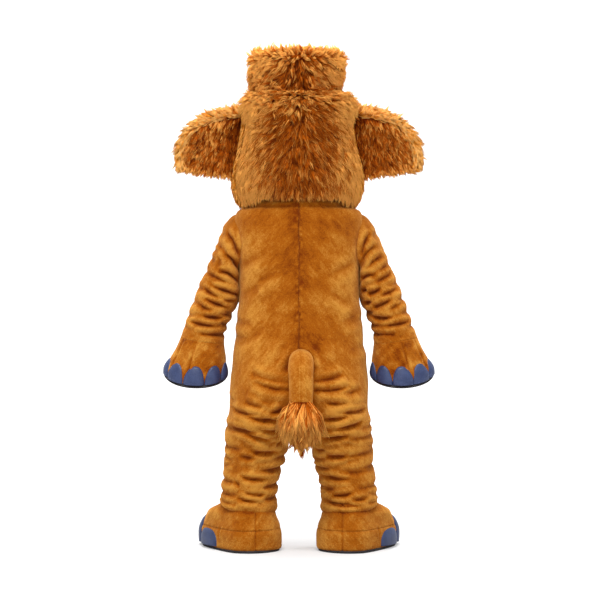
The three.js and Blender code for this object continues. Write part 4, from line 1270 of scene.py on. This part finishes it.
def ear_tone(places):
    """Dark at the root, with painted shade where it meets the head, lighter towards the hem, and
    painted rim light towards the rim.
    """
    out, up = -places[:, 0], places[:, 2]
    hem = 0.45 * smooth(above_hem(places), 45, 12)
    # Painted rim light: lighter towards the ear's outer border.
    rim = 0.6 * smooth(np.hypot(out - EAR_MIDDLE[0], 1.05 * (up - EAR_MIDDLE[1])), 94, 128)
    rim *= smooth(up, 1510, 1570) * smooth(out, 245, 320)
    shade = 0.14 * smooth(out, 260, 440) - 0.2 * bell((out - 232) / 26)
    return 0.06 + shade + 0.05 * clouds(places, 50, 9) + hem + rim


def rim_flow(places, normals):
    """Along the rim from its top to its hem, turned outwards."""
    out, up = -places[:, 0], places[:, 2]
    away, rise = unit(np.stack((out - EAR_MIDDLE[0], up - EAR_MIDDLE[1]), -1)).T
    along = unit(np.stack((rise + 0.7 * away, -away + 0.7 * rise), -1))
    return point(-along[:, 0], 0, along[:, 1] - 0.2)


def ears():
    """The ears: a panel behind and one in front, and the rim round them, painted light as rim light."""
    shares, reaches = np.linspace(0.02, 1, 41), np.linspace(0, 1, 33)
    for side in (LEFT, RIGHT):
        draw = np.random.default_rng(70 + side)
        for stem, face, slot, tone, clumps in (("ear_back", -1, "long_fur", ear_tone, 760),
                                               ("ear_front", 1, "short_fur", 0.25, 230)):
            grid = ear_point(shares[None, :], reaches[:, None], face, 7)
            coat(named(stem, side), grid, False, draw, slot, side=side, facing=(0, face, 0), thick=5,
                 clumps=clumps, many=6, spread=4, flow=ear_flow, tone=tone, rise=9, width=3.4,
                 length=lambda p: lerp(24, 44, smooth(above_hem(p), 0, 25)), stray=0.17, pull=0.9,
                 ratio=4)
        # The rim's fur is painted lighter as rim light.
        grid = rim_point(TUBE[None, ::2], np.linspace(0.005, 0.995, 61)[:, None], 7)
        coat(named("ear_rim", side), grid, True, draw, "tip_fur", side=side, clumps=430, many=8,
             spread=5, length=lambda p: lerp(20, 40, smooth(above_hem(p), 0, 40)), rise=13,
             width=3.6, flow=rim_flow, tone=0.72, stray=0.3, pull=0.9, ends=True)


def tail():
    """The tail's stuffed shaft with the seam along its back, and the tuft at its end."""
    rows_at = np.linspace(0, 5, 41)
    grid = tail_point(TUBE[None, :], rows_at[:, None])
    moved = drape(grid, 21, 1.4, 0.8) * smooth(rows_at, 0, 0.5)[:, None]
    moved += seam(np.abs(grid[..., 0] - TAIL_X) + 100 * (grid[..., 1] >= -235), 2.5, 4)
    made = solid(grid, moved)
    made["tone"] += 0.1
    piece("tail_shaft", made, "plush")

    def flow(places, normals):
        high = smooth(places[:, 2], 465, 585)[:, None]
        return normals * (0.9, 0.3, 0) * high - (0, 0, 1)

    def tone(places):
        x, up = np.abs(places[:, 0] - TAIL_X), places[:, 2]
        return 0.52 + 0.12 * smooth(x, 6, 46) - 0.5 * bell(x / 9) * smooth(up, 520, 620)

    def rise(places):
        x, up = np.abs(places[:, 0] - TAIL_X), places[:, 2]
        return 7 + 36 * smooth(x, 8, 44) * smooth(up, 440, 560) * smooth(up, 620, 575)

    grid = tuft_point(TUBE[None, :], np.linspace(0.85, 6, 37)[:, None])
    coat("tail_tuft", grid, True, np.random.default_rng(80), "long_fur", clumps=330, many=14,
         spread=6, length=lambda p: 52 + 48 * smooth(p[:, 2], 440, 590), rise=rise, width=3.7,
         flow=flow, tone=tone, stray=0.24, pull=0.92, sag=0.08, ends=True)


def on_face(grid, rows_at):
    """A tube's grid whose first row lies on the face and whose next ones leave it over one row."""
    x, out, up = np.moveaxis(grid, -1, 0)
    rows_at = rows_at[:, None]
    out = np.where(rows_at < 1, lerp(face_depth(x, up), out, smooth(rows_at, 0, 1)), out)
    return point(x, out, up)


def trunk():
    """A stuffed tube with shallow folds round it."""
    rows_at = np.linspace(0, 6, 61)
    half, lean, out, up = (value[:, None] for value in read(TRUNK, "half lean out up", "row", rows_at))
    angle, lean = np.radians(TUBE)[None, :], np.radians(lean)
    along = half * np.cos(angle)
    grid = point(half * np.sin(angle), out + along * np.sin(lean), up + along * np.cos(lean))
    grid = on_face(grid, rows_at)
    moved = drape(grid, 25, 1.2, 0.7) * smooth(rows_at, 0, 0.5)[:, None]
    for fold in (1.9, 2.6, 3.3, 4.0, 4.8):
        moved += seam(rows_at - fold, 3.5, 0.12)[:, None] * (0.7 + 0.3 * clouds(grid, 40, 2))
    piece("trunk", solid(grid, moved), "plush")


def tusks_and_eyes():
    """The tusks, tapered tubes with a blunt end, and the eyes, low domes on the face."""
    angle = np.radians(TUBE)[None, :]
    rows_at = np.append(np.linspace(0, 4, 33), 4)
    along, out, up, radius = (
        value[:, None] for value in read(TUSK, "along out up radius", "row", rows_at))
    radius[-1] *= 0.5
    out[-1] += 3
    tusk = point(radius * np.sin(angle) - along, out, up + radius * np.cos(angle))
    tusk = on_face(tusk, rows_at)
    rise = np.array([0, 0.3, 0.6, 0.82, 0.95, 1])[:, None]
    radius = EYE["radius"] * np.array([1, 0.97, 0.86, 0.66, 0.4, 0.12])[:, None]
    x, up = radius * np.sin(angle) - EYE["side"], EYE["up"] + radius * np.cos(angle)
    eye = point(x, face_depth(x, up) + rise * EYE["proud"], up)
    for side in (LEFT, RIGHT):
        piece(named("tusk", side), solid(tusk), "tusk", side)
        piece(named("eye", side), solid(eye, facing=(0, 1, 0)), "eye", side)


for side in (LEFT, RIGHT):
    suit_panel(side, False)
    suit_panel(side, True)
    sleeve(side)
    glove(side)
    nails(side, "glove_nail", arm_point, GLOVE_NAILS[side], [19, 20, 20, 18.6, 17.6], RIM,
          [RIM - 2.1] * 5, [9] * 5)
    shoe(side)
    nails(side, "shoe_nail", shoe_point, SHOE_NAILS, [21.6, 21.6, 21.6, 23, 13], FOOT_HEM - 0.1,
          [3.3, 2.4, 2.4, 2.3, 3.5], [9, 14, 14, 14, 12])
head()
topknot()
ears()
tail()
trunk()
tusks_and_eyes()

# Stage, light and camera ----------------------------------

FLOOR = CAD_LOW[2]
FLOOR_HALF = 30
CAMERA_UP = 0.989  # above the floor


def glowing_floor():
    """A pale finish that glows for the camera, more and more away from the middle, so that the floor
    runs into the backdrop."""
    pale = bpy.data.materials.new("pale_floor")
    pale.use_nodes = True
    tree = pale.node_tree
    shader = tree.nodes["Principled BSDF"]
    fixed = {"Base Color": (0.5, 0.5, 0.5, 1), "Roughness": 1.0, "Specular IOR Level": 0.0,
             "Emission Color": (1, 1, 1, 1)}
    fill(tree, shader, fixed.items())
    from_middle = put(tree, "ShaderNodeVectorMath", object_place(tree), (0.0, 0.0, -FLOOR),
                      settings=dict(operation="ADD")).outputs["Vector"]
    distance = put(tree, "ShaderNodeVectorMath", from_middle,
                   settings=dict(operation="LENGTH")).outputs["Value"]
    glow = math_node(tree, "MULTIPLY_ADD", ramp(tree, distance, 0.6, 2.8), 0.65, 0.35)
    looked_at = put(tree, "ShaderNodeLightPath").outputs["Is Camera Ray"]
    glow = math_node(tree, "MULTIPLY", glow, looked_at)
    tree.links.new(glow, shader.inputs["Emission Strength"])
    return pale


def softbox(name, place, aim, size, power):
    """A square lamp that faces the middle plane at a height."""
    lamp = bpy.data.lights.new(name, "AREA")
    lamp.shape, lamp.size, lamp.energy = "SQUARE", size, power
    shown = bpy.data.objects.new(name, lamp)
    shown.location = place
    x, y, z = np.array((0, 0, aim)) - place
    shown.rotation_euler = (np.arctan2(np.hypot(x, y), -z), 0, np.arctan2(x, -y))
    bpy.context.scene.collection.objects.link(shown)


stage = bpy.data.meshes.new("floor")
corners = [(x * FLOOR_HALF, y * FLOOR_HALF, FLOOR) for x, y in ((-1, -1), (1, -1), (1, 1), (-1, 1))]
stage.from_pydata(corners, [], [(0, 1, 2, 3)])
stage.materials.append(glowing_floor())
floor = bpy.data.objects.new("floor", stage)
bpy.context.scene.collection.objects.link(floor)

world = bpy.data.worlds.new("studio")
world.use_nodes = True
backdrop = world.node_tree.nodes["Background"]
backdrop.inputs["Color"].default_value = (1, 1, 1, 1)
seen = put(world.node_tree, "ShaderNodeLightPath").outputs["Is Camera Ray"]
# 0.8 as a light and 1.4 where it is looked at, so that it is plain white behind the costume.
brightness = math_node(world.node_tree, "MULTIPLY_ADD", seen, 0.6, 0.8)
world.node_tree.links.new(brightness, backdrop.inputs["Strength"])
bpy.context.scene.world = world

softbox("left_lamp", (-3.2, -0.2, 0.7), -0.2, 2.6, 700)
softbox("right_lamp", (3.2, -0.2, 0.7), -0.2, 2.6, 700)
softbox("top_lamp", (0, 1.0, 3.0), 0.2, 2.4, 190)
softbox("left_back_lamp", (-2.6, 2.6, 1.4), 0.1, 1.6, 110)
softbox("right_back_lamp", (2.6, 2.6, 1.4), 0.1, 1.6, 110)
softbox("key_lamp", (-0.4, -3.2, 3.7), -0.4, 2.0, 720)

camera = bpy.data.objects.new("camera", bpy.data.cameras.new("camera"))
camera.data.lens = 108.8
camera.data.sensor_width = 36
camera.location = (0.004, -7.2, FLOOR + CAMERA_UP)
camera.rotation_euler = (np.radians(90), 0, 0)
bpy.context.scene.collection.objects.link(camera)
bpy.context.scene.camera = camera
bpy.context.scene.view_settings.view_transform = "Standard"
